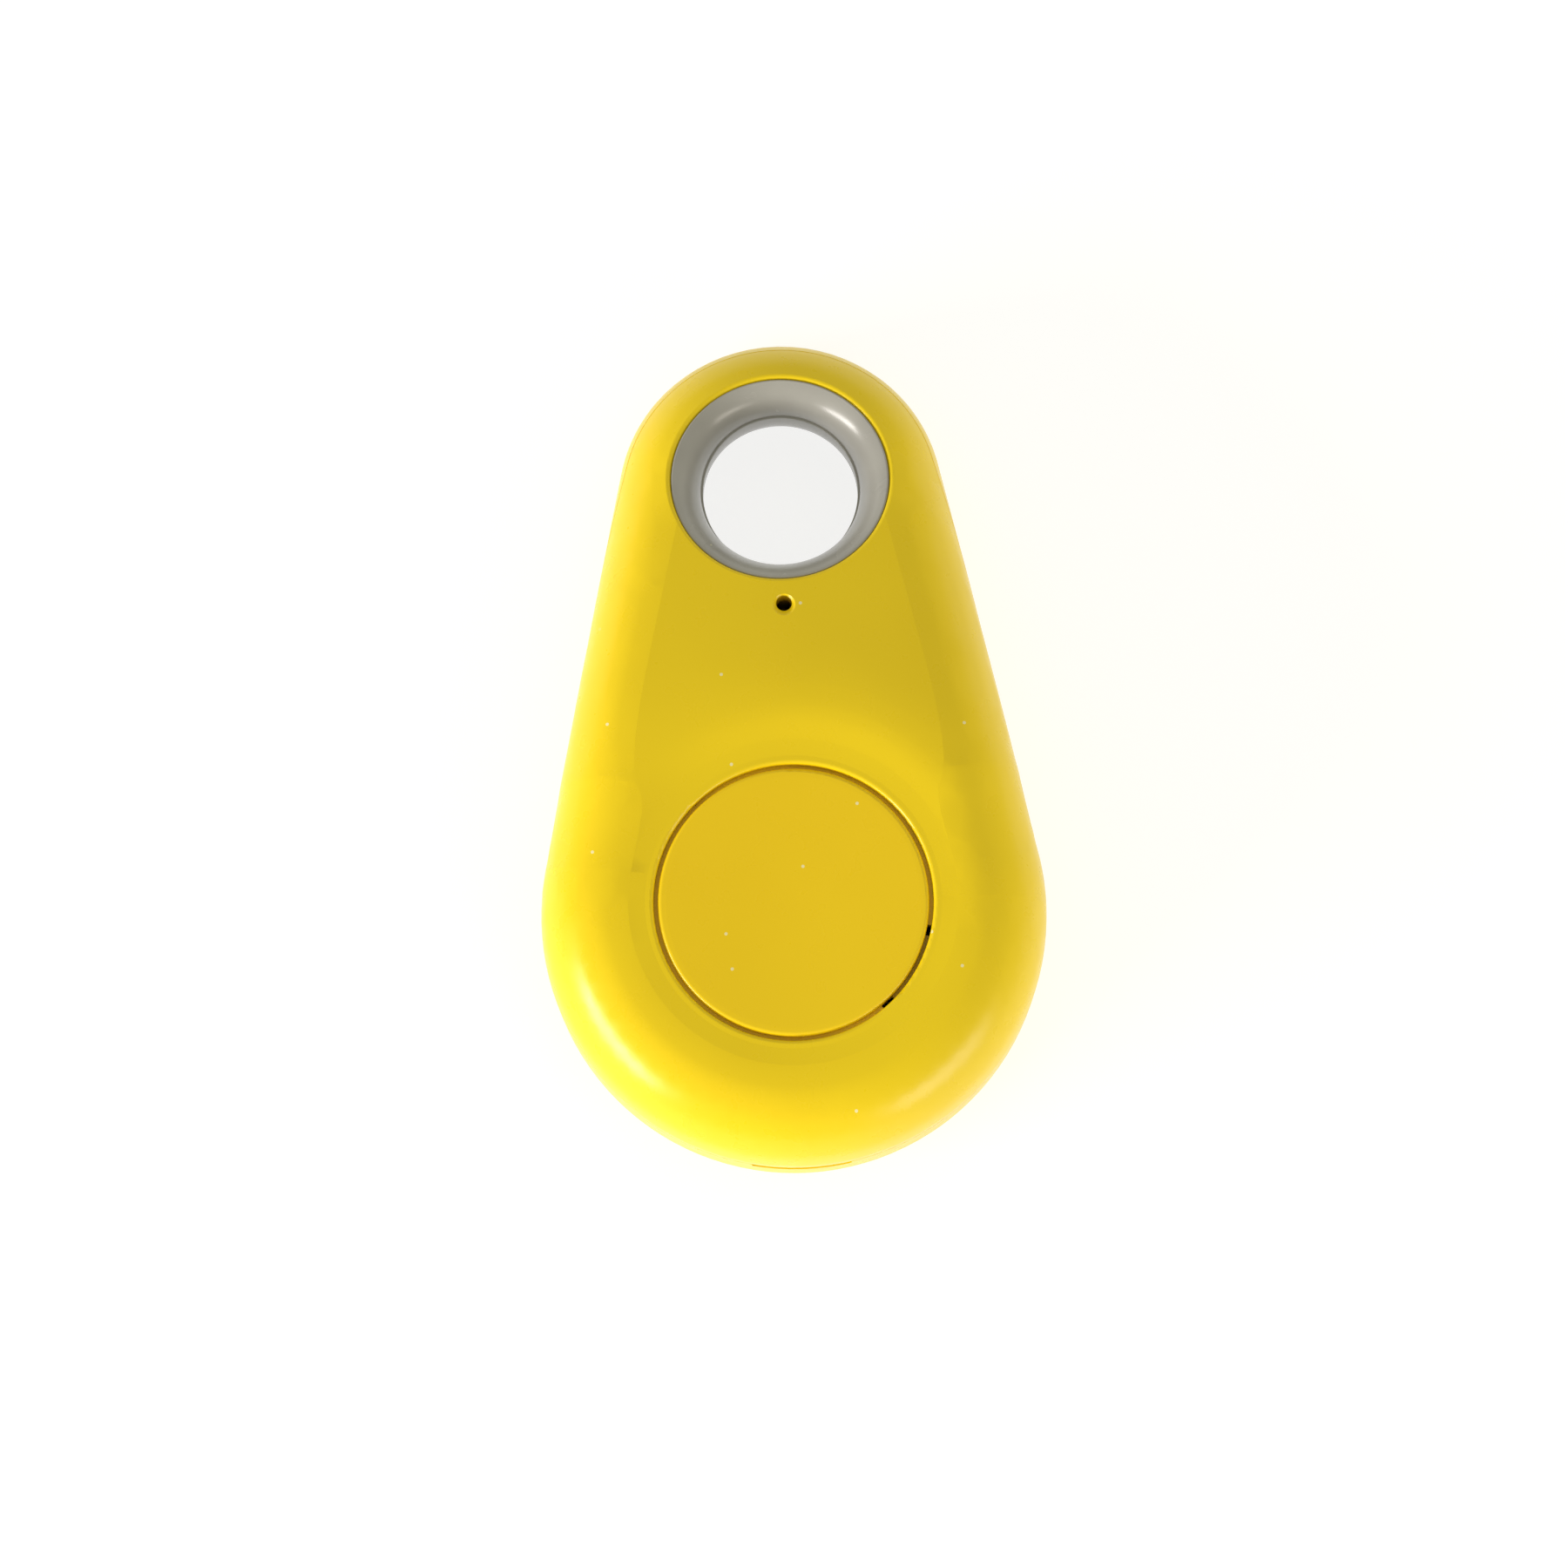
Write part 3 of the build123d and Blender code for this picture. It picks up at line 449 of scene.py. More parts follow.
def rounded_path(corners, radius, steps=6):
    """A flat path through corners, each inner corner replaced by an arc that touches both sides."""
    corners = np.asarray(corners, dtype=float)
    path = [corners[:1]]
    for before, corner, after in zip(corners[:-2], corners[1:-1], corners[2:]):
        first = (before - corner) / np.linalg.norm(before - corner)
        last = (after - corner) / np.linalg.norm(after - corner)
        half = math.acos(np.clip(first @ last, -1.0, 1.0)) / 2.0
        middle = corner + (first + last) / np.linalg.norm(first + last) * radius / math.sin(half)
        touch_in = corner + first * radius / math.tan(half) - middle
        touch_out = corner + last * radius / math.tan(half) - middle
        share = np.linspace(0.0, 1.0, steps)[:, None]
        spread = math.pi - 2.0 * half
        blend = np.sin((1.0 - share) * spread) * touch_in + np.sin(share * spread) * touch_out
        path.append(middle + blend / math.sin(spread))
    path.append(corners[-1:])
    return np.concatenate(path)


def swept(name, path, section, fixed):
    """A closed section carried along a path, with filled ends.

    The section's first number runs along the fixed direction and its second runs square to both
    the path and that direction, stretched at a corner so that the sides stay parallel.
    """
    step = np.diff(path, axis=0)
    step /= np.linalg.norm(step, axis=1, keepdims=True)
    before, after = np.concatenate((step[:1], step)), np.concatenate((step, step[-1:]))
    ahead = before + after
    ahead /= np.linalg.norm(ahead, axis=1, keepdims=True)
    across = np.cross(ahead, fixed) / np.sum(ahead * before, axis=1)[:, None]
    points = path[:, None, :] + section[None, :, :1] * fixed + section[None, :, 1:] * across[:, None, :]
    return closed_grid(name, points, "filled")


def soft_box(width, height, radius, steps=3):
    """Outline of a rectangle with rounded corners, centred on zero."""
    x, y = width / 2.0 - radius, height / 2.0 - radius
    return np.concatenate((
        arc((x, y), radius, 0, 90, steps), arc((-x, y), radius, 90, 180, steps),
        arc((-x, -y), radius, 180, 270, steps), arc((x, -y), radius, 270, 360, steps)))


def from_button(x, y, z=0.0):
    """A place in metres, counted in millimetres from the button's axis."""
    return np.array((BUTTON[0] + x * MM, BUTTON[1] + y * MM, z))


def track(corners, width, height, low, bend=0.5 * MM):
    """A flat track on the board along corners counted in millimetres from the button's axis."""
    flat = rounded_path([from_button(*corner)[:2] for corner in corners], bend)
    path = np.column_stack((flat, np.full(len(flat), low + height / 2.0)))
    half, rise = width / 2.0, height / 2.0
    section = np.array(((-rise, -half), (rise, -half), (rise, half), (-rise, half)))
    return swept("track", path, section, UP)


def pad(x, y, radius, low, high, columns=40):
    """A thin round disc between two heights, its rim softened towards the second."""
    edge = 0.3 * abs(high - low)
    lip = high - math.copysign(edge, high - low)
    profile = [(0.0, low), (radius, low), (radius, lip), (radius - edge, high), (0.0, high)]
    return turned("pad", profile, from_button(x, y), columns)


def hoop(x, y, inner, outer, low, high, columns=96):
    """A thin flat ring between two heights."""
    profile = [(inner, low), (outer, low), (outer, high), (inner, high)]
    return turned("hoop", profile, from_button(x, y), columns, "joined")


# ---- pieces ----

def edge_heights(node, centre, radius, turn, low, high):
    """Heights of a CAD node's edge on one upright cylinder, between two levels, at the given turns."""
    points = cad_points(node)
    out = points[:, :2] - centre[:2]
    on_cylinder = np.abs(np.hypot(*out.T) - radius) < EDGE_REACH
    on_edge = on_cylinder & (points[:, 2] > low) & (points[:, 2] < high)
    points, out = points[on_edge], out[on_edge]
    around = np.arctan2(out[:, 1], out[:, 0])
    order = np.argsort(around)
    return np.interp(turn, around[order], points[order, 2], period=2.0 * math.pi)


def bell(share, narrow, wide):
    """Radius and rise along most of a quarter ellipse, from narrow (share 0) to wide (share 1)."""
    turn = share * BELL_SWEEP
    radius = narrow + (wide - narrow) * (1.0 - np.cos(turn)) / (1.0 - math.cos(BELL_SWEEP))
    return radius, np.sin(turn) / math.sin(BELL_SWEEP)


def liner_mesh(form):
    """The flared liner: one closed profile carried round the eyelet, its rims following the shells.

    A profile point has radius r and height c + a * top + b * bottom, where top and bottom are the
    heights of the liner's outer edges at that turn. The profile runs from the rear rim through
    the waist and its small moulding step to the front rim, and back down the outer wall with its collar.
    """
    low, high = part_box("eyelet_liner")
    collar = (high.x - low.x) / 2.0
    outer = collar - form.collar_reach
    above, below = form.seam + form.collar_height / 2.0, form.seam - form.collar_height / 2.0
    turn = np.linspace(-math.pi, math.pi, form.columns, endpoint=False)
    gap = 0.03 * MM
    top = edge_heights("eyelet_liner", EYELET, outer, turn, above + gap, high.z + gap)
    bottom = edge_heights("eyelet_liner", EYELET, outer, turn, -gap, below - gap)
    waist_low = EYELET[2] - form.waist_length / 2.0
    waist_high = EYELET[2] + form.waist_length / 2.0
    rim_round, soft = form.rim_round, form.waist_step / 2.0
    outer += form.rim_fit
    lip = outer - rim_round * (1.0 - math.cos(LIP_SWEEP))
    drop = rim_round * (1.0 - math.sin(LIP_SWEEP))
    radius, rise = bell(np.linspace(1.0, 0.0, 16), WAIST_RADIUS, lip)
    none = np.zeros_like(rise)
    rows = [np.stack((radius, waist_low * (1.0 - rise) + drop * rise, none, rise), -1)]

    def lift(points, to_top=0.0, to_bottom=0.0):
        points = np.asarray(points, dtype=float)
        ties = np.tile((to_top, to_bottom), (len(points), 1))
        rows.append(np.hstack((points, ties)))

    lift(arc((WAIST_RADIUS + soft, waist_high - soft), soft, 180, 90, 5))
    ledge = WAIST_RADIUS + form.waist_step
    radius, rise = bell(np.linspace(0.0, 1.0, 40), ledge, lip)
    none = np.zeros_like(rise)
    rows.append(np.stack((radius, waist_high * (1.0 - rise) - drop * rise, rise, none), -1))
    lift(arc((outer - rim_round, -rim_round), rim_round, RIM_ARC, 0, 7), to_top=1.0)
    lift(((outer, above), (collar, above), (collar, below), (outer, below)))
    lift(arc((outer - rim_round, rim_round), rim_round, 0, -RIM_ARC, 7), to_bottom=1.0)
    radius, height, to_top, to_bottom = np.concatenate(rows).T[:, :, None]
    z = height + to_top * top + to_bottom * bottom
    x = EYELET[0] + radius * np.cos(turn)
    y = EYELET[1] + radius * np.sin(turn)
    return closed_grid("liner", np.stack((x, y, z), -1))


def strap_mesh(form):
    """The bent strap: a sheet carried under the cell and up both sides to its feet, and the stop arm."""
    low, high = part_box("battery_strap")
    half = form.sheet / 2.0
    bend = form.bend + half
    leg, foot = form.strap_leg - half, high.x
    floor, top = low.z + half, high.z - half
    front, back = from_button(0.0, form.strap_start / MM)[1], from_button(0.0, form.strap_end / MM)[1]
    corners = ((-foot, top), (-leg, top), (-leg, floor), (leg, floor), (leg, top), (foot, top))
    flat = rounded_path(corners, bend, 8)
    middle = np.full(len(flat), (front + back) / 2.0)
    path = np.column_stack((flat[:, 0], middle, flat[:, 1]))
    rounding = 0.35 * form.sheet
    section = soft_box(back - front, form.sheet, rounding)
    loop = swept("loop", path, section, np.array((0.0, 1.0, 0.0)))
    arm_end, arm_top = high.y - half, form.stop_top
    arm = rounded_path(((back - MM, floor), (arm_end, floor), (arm_end, arm_top)), bend, 8)
    path = np.column_stack((np.zeros(len(arm)), arm[:, 0], arm[:, 1]))
    thin = 0.98 * form.sheet
    arm = swept("arm", path, soft_box(form.stop_width, thin, rounding), np.array((1.0, 0.0, 0.0)))
    return joined("strap", (loop, arm))


def can_mesh(form):
    """The cell's can: drawn cup with a rounded bottom corner, a faint step in the base and a crimp."""
    low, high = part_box("cell_can")
    radius, sheet = (high.x - low.x) / 2.0, form.can_sheet
    corner = 0.4 * MM
    step_radius, step = 0.82 * radius, 0.05 * MM
    profile = [(0.0, low.z + step), (step_radius - step, low.z + step), (step_radius, low.z)]
    profile += list(arc((radius - corner, low.z + corner), corner, -90, 0, 8))
    profile += list(arc((radius - 0.4 * sheet, high.z - 0.4 * sheet), 0.4 * sheet, 0, 120, 6))
    profile += [(radius - sheet, high.z - sheet), (radius - sheet, low.z + sheet), (0.0, low.z + sheet)]
    centre = ((low.x + high.x) / 2.0, (low.y + high.y) / 2.0)
    return turned("can", profile, centre, form.columns)


def cap_mesh(form):
    """The cell's cap: shallow pan with a rounded shoulder, a raised middle and a thin wall."""
    low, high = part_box("cell_cap")
    radius, sheet = (high.x - low.x) / 2.0, form.can_sheet
    shoulder, rise = 0.8 * sheet, 0.04 * MM
    middle = 0.75 * radius
    profile = [(0.0, high.z), (middle, high.z), (middle + rise, high.z - rise)]
    profile += list(arc((radius - shoulder, high.z - rise - shoulder), shoulder, 90, 0, 7))
    profile += [(radius, low.z), (radius - sheet, low.z)]
    profile += [(radius - sheet, high.z - sheet), (0.0, high.z - sheet)]
    centre = ((low.x + high.x) / 2.0, (low.y + high.y) / 2.0)
    return turned("cap", profile, centre, form.columns)


# ---- operators: one for each piece or group of like pieces ----

class TAG_OT_shells(bpy.types.Operator):
    """Give both shells their satin yellow plastic"""

    bl_idname = "tag.shells"
    bl_label = "Shells"

    def execute(self, context):
        looks = context.scene.tag_finish
        yellow = satin_plastic("yellow_shell", looks.shell_light, looks.shell_dark, looks.dust)
        dress(yellow, "front_cover", "rear_cover")
        return {"FINISHED"}


class TAG_OT_button(bpy.types.Operator):
    """Give the button its own, slightly deeper yellow"""

    bl_idname = "tag.button"
    bl_label = "Button"

    def execute(self, context):
        looks = context.scene.tag_finish
        yellow = satin_plastic("yellow_button", looks.button_light, looks.button_dark, looks.dust)
        dress(yellow, "button_cap")
        return {"FINISHED"}


class TAG_OT_liner(bpy.types.Operator):
    """Build the flared grey liner of the eyelet"""

    bl_idname = "tag.liner"
    bl_label = "Eyelet liner"

    def execute(self, context):
        looks = context.scene.tag_finish
        grey = liner_plastic("grey_liner", looks.liner_light, looks.liner_dark, looks.dust)
        place("liner", liner_mesh(context.scene.tag_form), grey, "front_case", "grey_liner", "eyelet_liner")
        return {"FINISHED"}


class TAG_OT_strap(bpy.types.Operator):
    """Build the bent battery strap"""

    bl_idname = "tag.strap"
    bl_label = "Battery strap"

    def execute(self, context):
        steel = rolled_metal("strap_steel", (0.72, 0.71, 0.68), (0.58, 0.57, 0.55), 0.28)
        place("strap", strap_mesh(context.scene.tag_form), steel, "front_case", "steel", "battery_strap")
        return {"FINISHED"}


class TAG_OT_cell(bpy.types.Operator):
    """Build the coin cell's can and cap, and finish what lies inside them"""

    bl_idname = "tag.cell"
    bl_label = "Coin cell"

    def execute(self, context):
        form = context.scene.tag_form
        centre = from_button(0.0, 0.0)
        can = turned_metal("can_steel", (0.66, 0.65, 0.63), (0.55, 0.545, 0.53), 0.24, centre)
        cap = turned_metal("cap_steel", (0.70, 0.69, 0.66), (0.60, 0.59, 0.57), 0.30, centre)
        place("can", can_mesh(form), can, "coin_cell", "cell_steel", "cell_can")
        place("cap", cap_mesh(form), cap, "coin_cell", "cell_steel", "cell_cap")
        dress(plain_plastic("seal_plastic", (0.035, 0.035, 0.045), (0.02, 0.02, 0.025), 0.45), "cell_seal")
        pellet = plain_plastic("cathode_pellet", (0.03, 0.03, 0.03), (0.012, 0.012, 0.012), 0.8)
        dress(pellet, "cell_cathode")
        dress(rolled_metal("lithium", (0.50, 0.50, 0.53), (0.36, 0.36, 0.39), 0.5), "cell_anode")
        return {"FINISHED"}


class TAG_OT_board(bpy.types.Operator):
    """Finish the circuit board and lay out its copper, pads and print"""

    bl_idname = "tag.board"
    bl_label = "Circuit board"

    def execute(self, context):
        form, looks = context.scene.tag_form, context.scene.tag_finish
        green = board_laminate("board_green", looks.mask, looks.laminate)
        dress(green, "circuit_board", "buzzer_base")
        gold = rolled_metal("gold_plate", (0.83, 0.60, 0.24), (0.72, 0.48, 0.17), 0.24)
        dress(gold, "antenna_trace", "negative_contact")
        low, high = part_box("circuit_board")
        top, under = high.z, low.z - form.copper
        tracks = [track(corners, TOP_TRACK_WIDTH, form.copper, top) for corners in TOP_TRACKS]
        tracks += [track(corners, UNDER_TRACK_WIDTH, form.copper, under) for corners in UNDER_TRACKS]
        raised = plain_plastic("masked_copper", (0.018, 0.19, 0.075), (0.012, 0.15, 0.06), 0.3)
        place("board_tracks", joined("tracks", tracks), raised, "front_case", "board")
        pads = [pad(x, y, TOP_PAD_RADIUS, top, top + form.copper) for x, y in TOP_PADS]
        pads += [pad(x, y, UNDER_PAD_RADIUS, low.z, under) for x, y in UNDER_PADS]
        pads += [hoop(x, y, *VIA_RADII, under, low.z, 24) for x, y in VIAS]
        place("board_pads", joined("pads", pads), gold, "front_case", "gold_plate")
        ink = plain_plastic("board_print", (0.80, 0.80, 0.77), (0.70, 0.70, 0.67), 0.6)
        lines = [hoop(0.0, 0.0, *CELL_RING_RADII, under, low.z)]
        lines += [track(corners, PRINT_WIDTH, 0.8 * form.copper, top, PRINT_BEND) for corners in PRINT]
        place("board_print", joined("print", lines), ink, "front_case", "white_plastic")
        return {"FINISHED"}


class TAG_OT_solder(bpy.types.Operator):
    """Run solder fillets along the ends of the small parts and the strap's feet"""

    bl_idname = "tag.solder"
    bl_label = "Solder"

    def execute(self, context):
        tin = rolled_metal("solder", (0.70, 0.70, 0.68), (0.55, 0.55, 0.54), 0.2, scale=3000.0)
        dress(tin, "switch_terminals", "buzzer_terminals", "chip_lands", "transistor_leads",
              "capacitor_ends", "resistor_ends")
        low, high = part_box("circuit_board")
        fillets = []
        for x, y, turn in SMALL_PARTS:
            c, s = math.cos(math.radians(turn)), math.sin(math.radians(turn))
            for side in (-1.0, 1.0):
                out = np.array((c, s)) * side
                middle = from_button(x, y, high.z) + np.append(out * SMALL_PART_HALF * MM, 0.0)
                fillets.append(fillet_bead(middle, out, *PART_BEAD, 1.0))
        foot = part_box("battery_strap")[1].x
        start, end = context.scene.tag_form.strap_start / MM, context.scene.tag_form.strap_end / MM
        for side in (-1.0, 1.0):
            middle = from_button(side * foot / MM, (start + end) / 2.0, low.z)
            run = (end - start) * FOOT_BEAD_SHARE * MM
            fillets.append(fillet_bead(middle, np.array((side, 0.0)), run, *FOOT_BEAD, -1.0))
        place("solder_joints", joined("joints", fillets), tin, "front_case", "solder")
        return {"FINISHED"}


def dome_mesh(form, foot, reach, height):
    """A thin spherical cap that stands on its rim, concentric inside and out."""
    ball = (reach ** 2 + height ** 2) / (2.0 * height)
    inner = ball - form.dome_sheet
    edge = math.asin(reach / ball)
    inner_edge = math.acos((ball - height) / inner)
    centre = foot.z + height - ball
    out = np.linspace(0.0, edge, 17)
    back = np.linspace(inner_edge, 0.0, 17)
    outside = np.stack((ball * np.sin(out), centre + ball * np.cos(out)), -1)
    inside = np.stack((inner * np.sin(back), centre + inner * np.cos(back)), -1)
    return turned("snap_dome", np.concatenate((outside, inside)), foot, 96)


def fillet_bead(middle, out, length, reach, height, rise):
    """A hollow wedge of solder against an upright face.

    Its reach runs out along the board, and rise is 1 above the board or -1 below it.
    """
    share = np.linspace(0.0, math.pi / 2.0, 7)
    curve = np.stack(((1.0 - np.sin(share)) * height * rise, (1.0 - np.cos(share)) * reach), -1)[::-1]
    section = np.concatenate((curve, ((0.0, 0.0),)))
    along = np.array((-out[1], out[0], 0.0)) * rise
    path = np.stack((middle - along * length / 2.0, middle + along * length / 2.0))
    section = np.stack((section[:, 0], section[:, 1] * rise), -1)
    return swept("bead", path, section, UP)


class TAG_OT_parts(bpy.types.Operator):
    """Finish the bought parts on the board"""

    bl_idname = "tag.parts"
    bl_label = "Board parts"

    def execute(self, context):
        black = plain_plastic("black_plastic", (0.030, 0.030, 0.032), (0.018, 0.018, 0.019), 0.5)
        dress(black, "switch_base", "switch_plunger", "buzzer_case", "buzzer_spacer", "radio_chip",
              "transistor", "resistor_bodies")
        steel = rolled_metal("steel", (0.66, 0.66, 0.64), (0.52, 0.52, 0.51), 0.27)
        dress(steel, "switch_plate", "buzzer_diaphragm", "crystal")
        self.dome(context.scene.tag_form, steel)
        dress(rolled_metal("iron", (0.32, 0.31, 0.30), (0.22, 0.21, 0.20), 0.45), "buzzer_pole")
        dress(plain_plastic("magnet", (0.055, 0.055, 0.06), (0.03, 0.03, 0.035), 0.55), "buzzer_magnet")
        dress(enamelled_wire("copper_wire", from_button(0.0, 0.0)), "buzzer_coil")
        dress(plain_plastic("white_plastic", (0.75, 0.75, 0.72), (0.66, 0.66, 0.63), 0.5), "led_base")
        dress(clear_resin("clear_lens"), "led_lens")
        ceramic = plain_plastic("tan_ceramic", (0.45, 0.30, 0.17), (0.34, 0.22, 0.12), 0.55)
        dress(ceramic, "capacitor_bodies")
        return {"FINISHED"}

    def dome(self, form, steel):
        """The switch's snap dome, drawn at rest; the real dome flattens under the plunger."""
        low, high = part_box("switch_dome")
        foot = Vector((BUTTON[0], BUTTON[1], low.z))
        dome = place("snap_dome", dome_mesh(form, foot, high.x - foot.x, high.z - foot.z), steel,
                     "front_case", "steel", "switch_dome")
        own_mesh(dome)


class TAG_OT_mould_marks(bpy.types.Operator):
    """Leave ejector pin marks on the floor inside the rear shell"""

    bl_idname = "tag.mould_marks"
    bl_label = "Mould marks"

    def execute(self, context):
        looks = context.scene.tag_finish
        plastic = satin_plastic("inner_yellow", looks.shell_light, looks.shell_dark, looks.dust)
        floor = context.scene.tag_form.floor
        marks = [pad(x, y, EJECTOR_RADIUS, floor - EJECTOR_ROOT, floor + EJECTOR_RISE)
                 for x, y in EJECTOR_MARKS]
        place("ejector_marks", joined("marks", marks), plastic, "rear_case", "yellow_shell")
        return {"FINISHED"}


class TAG_OT_stage(bpy.types.Operator):
    """Set the lit white table, the softboxes and the camera"""

    bl_idname = "tag.stage"
    bl_label = "Stage"

    def execute(self, context):
        studio = context.scene.tag_studio
        self.table(studio)
        self.surround(context, studio)
        for name, azimuth, power, size, tint in SOFTBOXES:
            self.softbox(name, azimuth, getattr(studio, power), size, tint)
        self.camera(context, studio)
        context.scene.view_settings.view_transform = "Standard"
        return {"FINISHED"}

    def table(self, studio):
        """A pale table that glows faintly, as if lit from below."""
        bpy.ops.mesh.primitive_plane_add(size=TABLE_SIZE, location=(0.0, 0.0, -TABLE_GAP))
        table = bpy.context.object
        table.name = "table"
        pale = Finish("pale_table", Base_Color=TABLE_GREY, Roughness=0.6)
        pale.shader.inputs["Emission Color"].default_value = (1.0, 1.0, 1.0, 1.0)
        pale.shader.inputs["Emission Strength"].default_value = studio.table_glow
        table.data.materials.append(pale.material)

    def surround(self, context, studio):
        """A soft white surround, dimmer overhead, with a bright band that hides the table's far edge."""
        world = bpy.data.worlds.new("surround")
        context.scene.world = world
        world.use_nodes = True
        nodes, links = world.node_tree.nodes, world.node_tree.links
        place_in_sky = nodes.new("ShaderNodeTexCoord").outputs["Generated"]
        split = nodes.new("ShaderNodeSeparateXYZ")
        links.new(place_in_sky, split.inputs["Vector"])
        parts = []
        for ends in ((*SKY_FALL, studio.sky, studio.zenith), (*HORIZON_BAND, 1.0 - studio.sky, 0.0)):
            fall = nodes.new("ShaderNodeMapRange")
            for socket, number in zip(("From Min", "From Max", "To Min", "To Max"), ends):
                fall.inputs[socket].default_value = number
            links.new(split.outputs["Z"], fall.inputs["Value"])
            parts.append(fall.outputs["Result"])
        total = nodes.new("ShaderNodeMath")
        links.new(parts[0], total.inputs[0])
        links.new(parts[1], total.inputs[1])
        links.new(total.outputs["Value"], nodes["Background"].inputs["Strength"])
        nodes["Background"].inputs["Color"].default_value = SKY_TINT

    def softbox(self, name, azimuth, power, size, tint):
        """A softbox that stands on the table half a metre off, aimed at the tag."""
        turn, lean = math.radians(azimuth), math.radians(SOFTBOX_LEAN)
        away = Vector((math.cos(turn) * math.sin(lean), math.sin(turn) * math.sin(lean), math.cos(lean)))
        data = bpy.data.lights.new(name, "AREA")
        data.shape = "RECTANGLE"
        data.size, data.size_y = size
        data.energy = power
        data.color = tint
        lamp = bpy.data.objects.new(name, data)
        lamp.location = away * SOFTBOX_REACH
        lamp.rotation_euler = (-away).to_track_quat("-Z", "Y").to_euler()
        bpy.context.collection.objects.link(lamp)

    def camera(self, context, studio):
        """The camera: leant towards the tail, turned a little, and aimed past the button."""
        target = Vector((BUTTON[0], BUTTON[1], AIM_HEIGHT))
        tilt, roll = studio.tilt, studio.roll
        back = Vector((0.0, -math.sin(tilt), math.cos(tilt)))
        level = Vector((0.0, math.cos(tilt), math.sin(tilt)))
        side = Vector((1.0, 0.0, 0.0))
        up = level * math.cos(roll) + side * math.sin(roll)
        right = side * math.cos(roll) - level * math.sin(roll)
        data = bpy.data.cameras.new("camera")
        data.lens, data.sensor_width = studio.lens, SENSOR_WIDTH
        data.clip_start, data.clip_end = 0.01, 10.0
        camera = bpy.data.objects.new("camera", data)
        context.collection.objects.link(camera)
        aim = Matrix.Rotation(studio.aim_up, 3, "X") @ Matrix.Rotation(studio.aim_left, 3, "Y")
        turn = Matrix((right, up, back)).transposed() @ aim
        camera.matrix_world = Matrix.Translation(target + back * studio.distance) @ turn.to_4x4()
        context.scene.camera = camera


# ---- stage ----

TABLE_SIZE = 6.0
TABLE_GAP = 0.02 * MM             # from the table to the tag's back
TABLE_GREY = (0.36, 0.36, 0.36, 1.0)
SKY_TINT = (1.0, 0.98, 0.82, 1.0)
SKY_FALL = (0.2, 0.95)            # heights on the sky's unit sphere where it begins and stops dimming
HORIZON_BAND = (0.02, 0.06)       # heights where the bright band at the horizon fades out
SOFTBOX_LEAN = 75.0               # degrees from overhead
SOFTBOX_REACH = 0.5
SOFTBOXES = (                     # name, degrees round the tag, power setting, width and height, tint
    ("key", 207.0, "key_power", (0.30, 0.10), (1.0, 0.96, 0.91)),
    ("fill", -45.0, "fill_power", (0.30, 0.12), (1.0, 0.92, 0.82)))
AIM_HEIGHT = 10.5 * MM
SENSOR_WIDTH = 36.0               # millimetres


# ---- marks, solder and copper ----

EJECTOR_RADIUS, EJECTOR_ROOT, EJECTOR_RISE = 0.9 * MM, 0.01 * MM, 0.03 * MM
PART_BEAD = (0.76 * MM, 0.3 * MM, 0.3 * MM)     # length, reach and height of solder at a small part's end
FOOT_BEAD_SHARE = 0.85            # part of a strap foot's length that has solder
FOOT_BEAD = (0.25 * MM, 0.18 * MM)              # its reach and height
TOP_TRACK_WIDTH, UNDER_TRACK_WIDTH = 0.22 * MM, 0.3 * MM
TOP_PAD_RADIUS, UNDER_PAD_RADIUS = 0.5 * MM, 0.6 * MM
VIA_RADII = (0.14 * MM, 0.28 * MM)
CELL_RING_RADII = (8.95 * MM, 9.1 * MM)         # printed ring round the cell's contact
PRINT_WIDTH, PRINT_BEND = 0.13 * MM, 0.05 * MM


# ---- board layout, in millimetres from the button's axis ----

SMALL_PART_HALF = 0.8
SMALL_PARTS = (
    (-2.4, -6.9, 0), (-6.3, -7.6, 0), (-9.6, -4.2, 90), (-10.2, 1.2, 90), (-4.6, 4.4, 0), (5.2, -6.2, 0),
    (7.6, -3.4, 90), (-5.6, 8.6, 90), (-8.2, 15.2, 0), (5.4, 4.2, 0), (2.9, 17.9, 0))
TOP_TRACKS = (
    ((-4.0, -3.2), (-3.0, -3.2), (-2.6, -2.8), (-2.6, -2.0)),
    ((-4.0, -5.2), (4.4, -5.2), (4.4, -6.2)),
    ((-8.6, -4.2), (-9.2, -4.6), (-9.2, -5.0)),
    ((-6.3, -1.9), (-6.3, -0.4), (-7.4, 0.0)),
    ((-7.8, -1.9), (-8.6, -0.6)),
    ((2.6, 1.7), (3.6, 2.4), (4.6, 3.4)),
    ((-2.6, 1.7), (-4.0, 3.2), (-3.8, 4.0)),
    ((-5.6, 9.6), (-6.4, 10.6), (-6.6, 11.2)),
    ((-7.6, 13.2), (-7.6, 14.8)),
    ((6.2, 4.2), (8.0, 6.2), (8.0, 9.4), (5.2, 10.6)),
    ((2.2, 17.9), (1.2, 18.2)))
UNDER_TRACKS = (
    ((0.0, -3.4), (0.0, -6.4), (-3.0, -9.6), (-6.4, -9.6)),
    ((2.4, -2.6), (5.6, -5.8), (5.6, -10.2)),
    ((-11.2, 4.2), (-11.2, 6.6), (-7.0, 10.8), (-7.0, 15.4)),
    ((11.2, 4.2), (11.2, 6.4), (6.6, 11.0), (6.6, 15.0)),
    ((-3.6, 11.6), (3.6, 11.6), (5.0, 13.0), (5.0, 16.0)),
    ((-3.6, 12.6), (1.6, 12.6), (3.2, 14.2), (3.2, 17.2)),
    ((-5.0, 17.0), (-1.2, 17.0), (0.0, 15.8), (0.0, 13.8)))
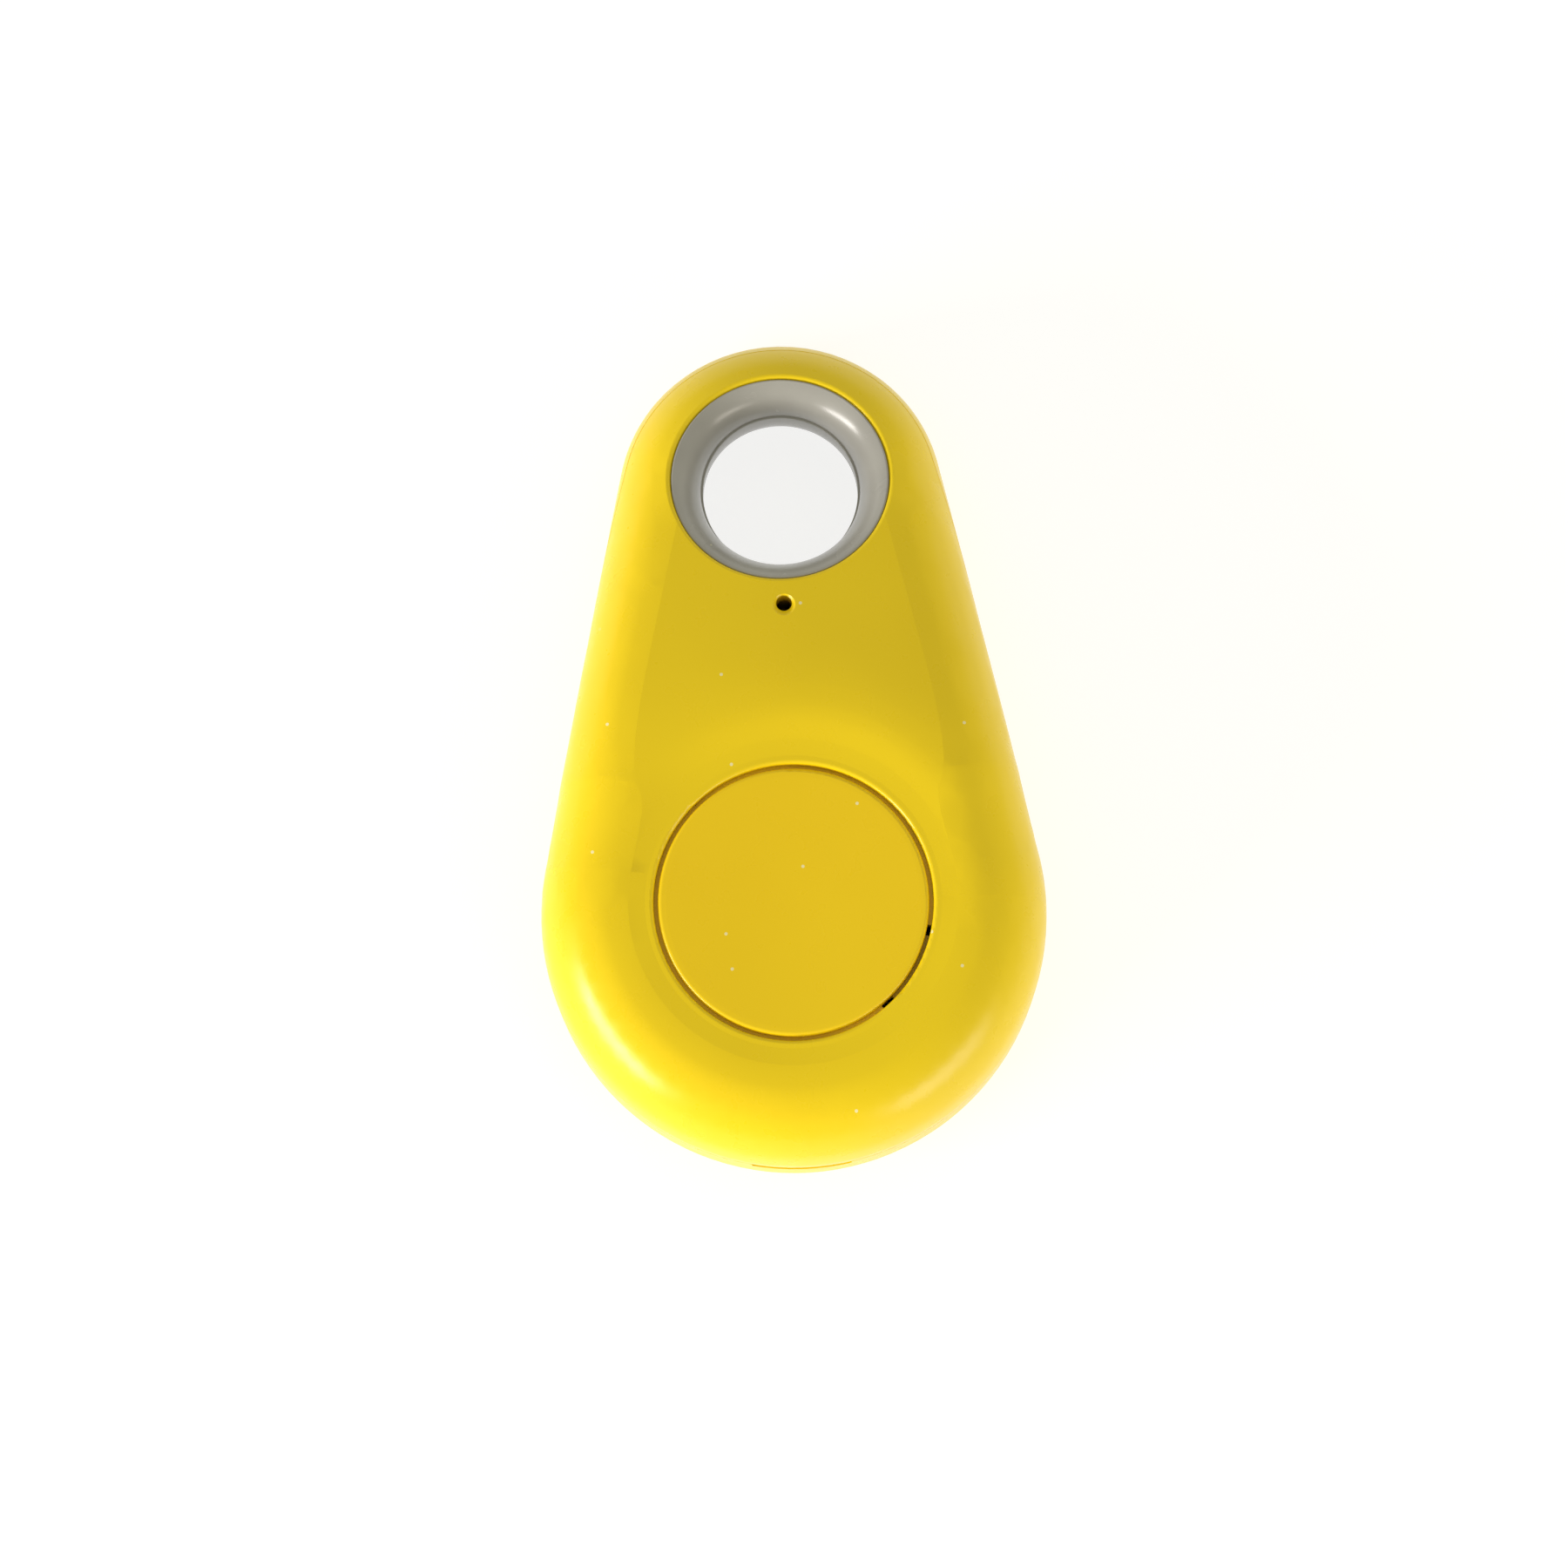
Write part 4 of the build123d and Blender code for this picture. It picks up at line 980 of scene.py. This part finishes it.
TOP_PADS = ((-3.2, -9.6), (0.0, -10.6), (3.2, -9.6), (9.4, 1.0))
UNDER_PADS = ((-6.6, 16.4), (6.6, 16.2), (-3.6, 14.6), (-7.6, -9.4), (5.6, -10.9), (0.0, -11.6))
VIAS = (
    (-2.2, 10.9), (0.4, 10.6), (2.6, 13.0), (-1.6, 14.0), (4.2, 15.2), (-4.6, 15.6), (8.4, 10.4),
    (-9.0, 10.2), (3.0, -9.8), (-4.8, -10.4), (1.6, 16.2), (9.6, -6.6), (-9.8, -6.4))
PRINTED_BOXES = (                 # middle, half width and half height of the printed outlines
    (-6.3, -4.2, 2.3, 2.3), (0.0, 0.0, 2.5, 3.0), (-7.4, 1.3, 1.9, 1.5), (-7.6, 12.2, 1.7, 1.4))
PRINT_GAP = 0.2                   # where an outline stays open
PRINT = tuple(
    ((x - w, y - h), (x + w, y - h), (x + w, y + h), (x - w, y + h), (x - w, y - h + PRINT_GAP))
    for x, y, w, h in PRINTED_BOXES)
EJECTOR_MARKS = ((-7.5, -7.0), (7.5, -7.0), (-8.4, 7.6), (8.4, 7.6), (0.0, 14.0))


class TAG_PT_sidebar(bpy.types.Panel):
    """Sidebar panel of the key-finder tag"""

    bl_idname = "TAG_PT_sidebar"
    bl_label = "Key-finder tag"
    bl_space_type = "VIEW_3D"
    bl_region_type = "UI"
    bl_category = "Tag"

    def draw(self, context):
        for settings in (context.scene.tag_form, context.scene.tag_finish, context.scene.tag_studio):
            box = self.layout.box()
            for name in settings.bl_rna.properties.keys():
                if name not in ("rna_type", "name"):
                    box.prop(settings, name)
        for operator in OPERATORS:
            self.layout.operator(operator.bl_idname)


OPERATORS = (
    TAG_OT_shells, TAG_OT_button, TAG_OT_liner, TAG_OT_strap, TAG_OT_cell, TAG_OT_board,
    TAG_OT_solder, TAG_OT_parts, TAG_OT_mould_marks, TAG_OT_stage)
SETTINGS = {"tag_form": TagForm, "tag_finish": TagFinish, "tag_studio": TagStudio}


def register():
    for kind in (*SETTINGS.values(), *OPERATORS, TAG_PT_sidebar):
        bpy.utils.register_class(kind)
    for name, kind in SETTINGS.items():
        setattr(bpy.types.Scene, name, PointerProperty(type=kind))


def unregister():
    for name in SETTINGS:
        delattr(bpy.types.Scene, name)
    for kind in (TAG_PT_sidebar, *reversed(OPERATORS), *SETTINGS.values()):
        bpy.utils.unregister_class(kind)


def main():
    register()
    bpy.ops.tag.shells()
    bpy.ops.tag.button()
    bpy.ops.tag.liner()
    bpy.ops.tag.strap()
    bpy.ops.tag.cell()
    bpy.ops.tag.board()
    bpy.ops.tag.solder()
    bpy.ops.tag.parts()
    bpy.ops.tag.mould_marks()
    bpy.ops.tag.stage()


if __name__ == "__main__":
    main()
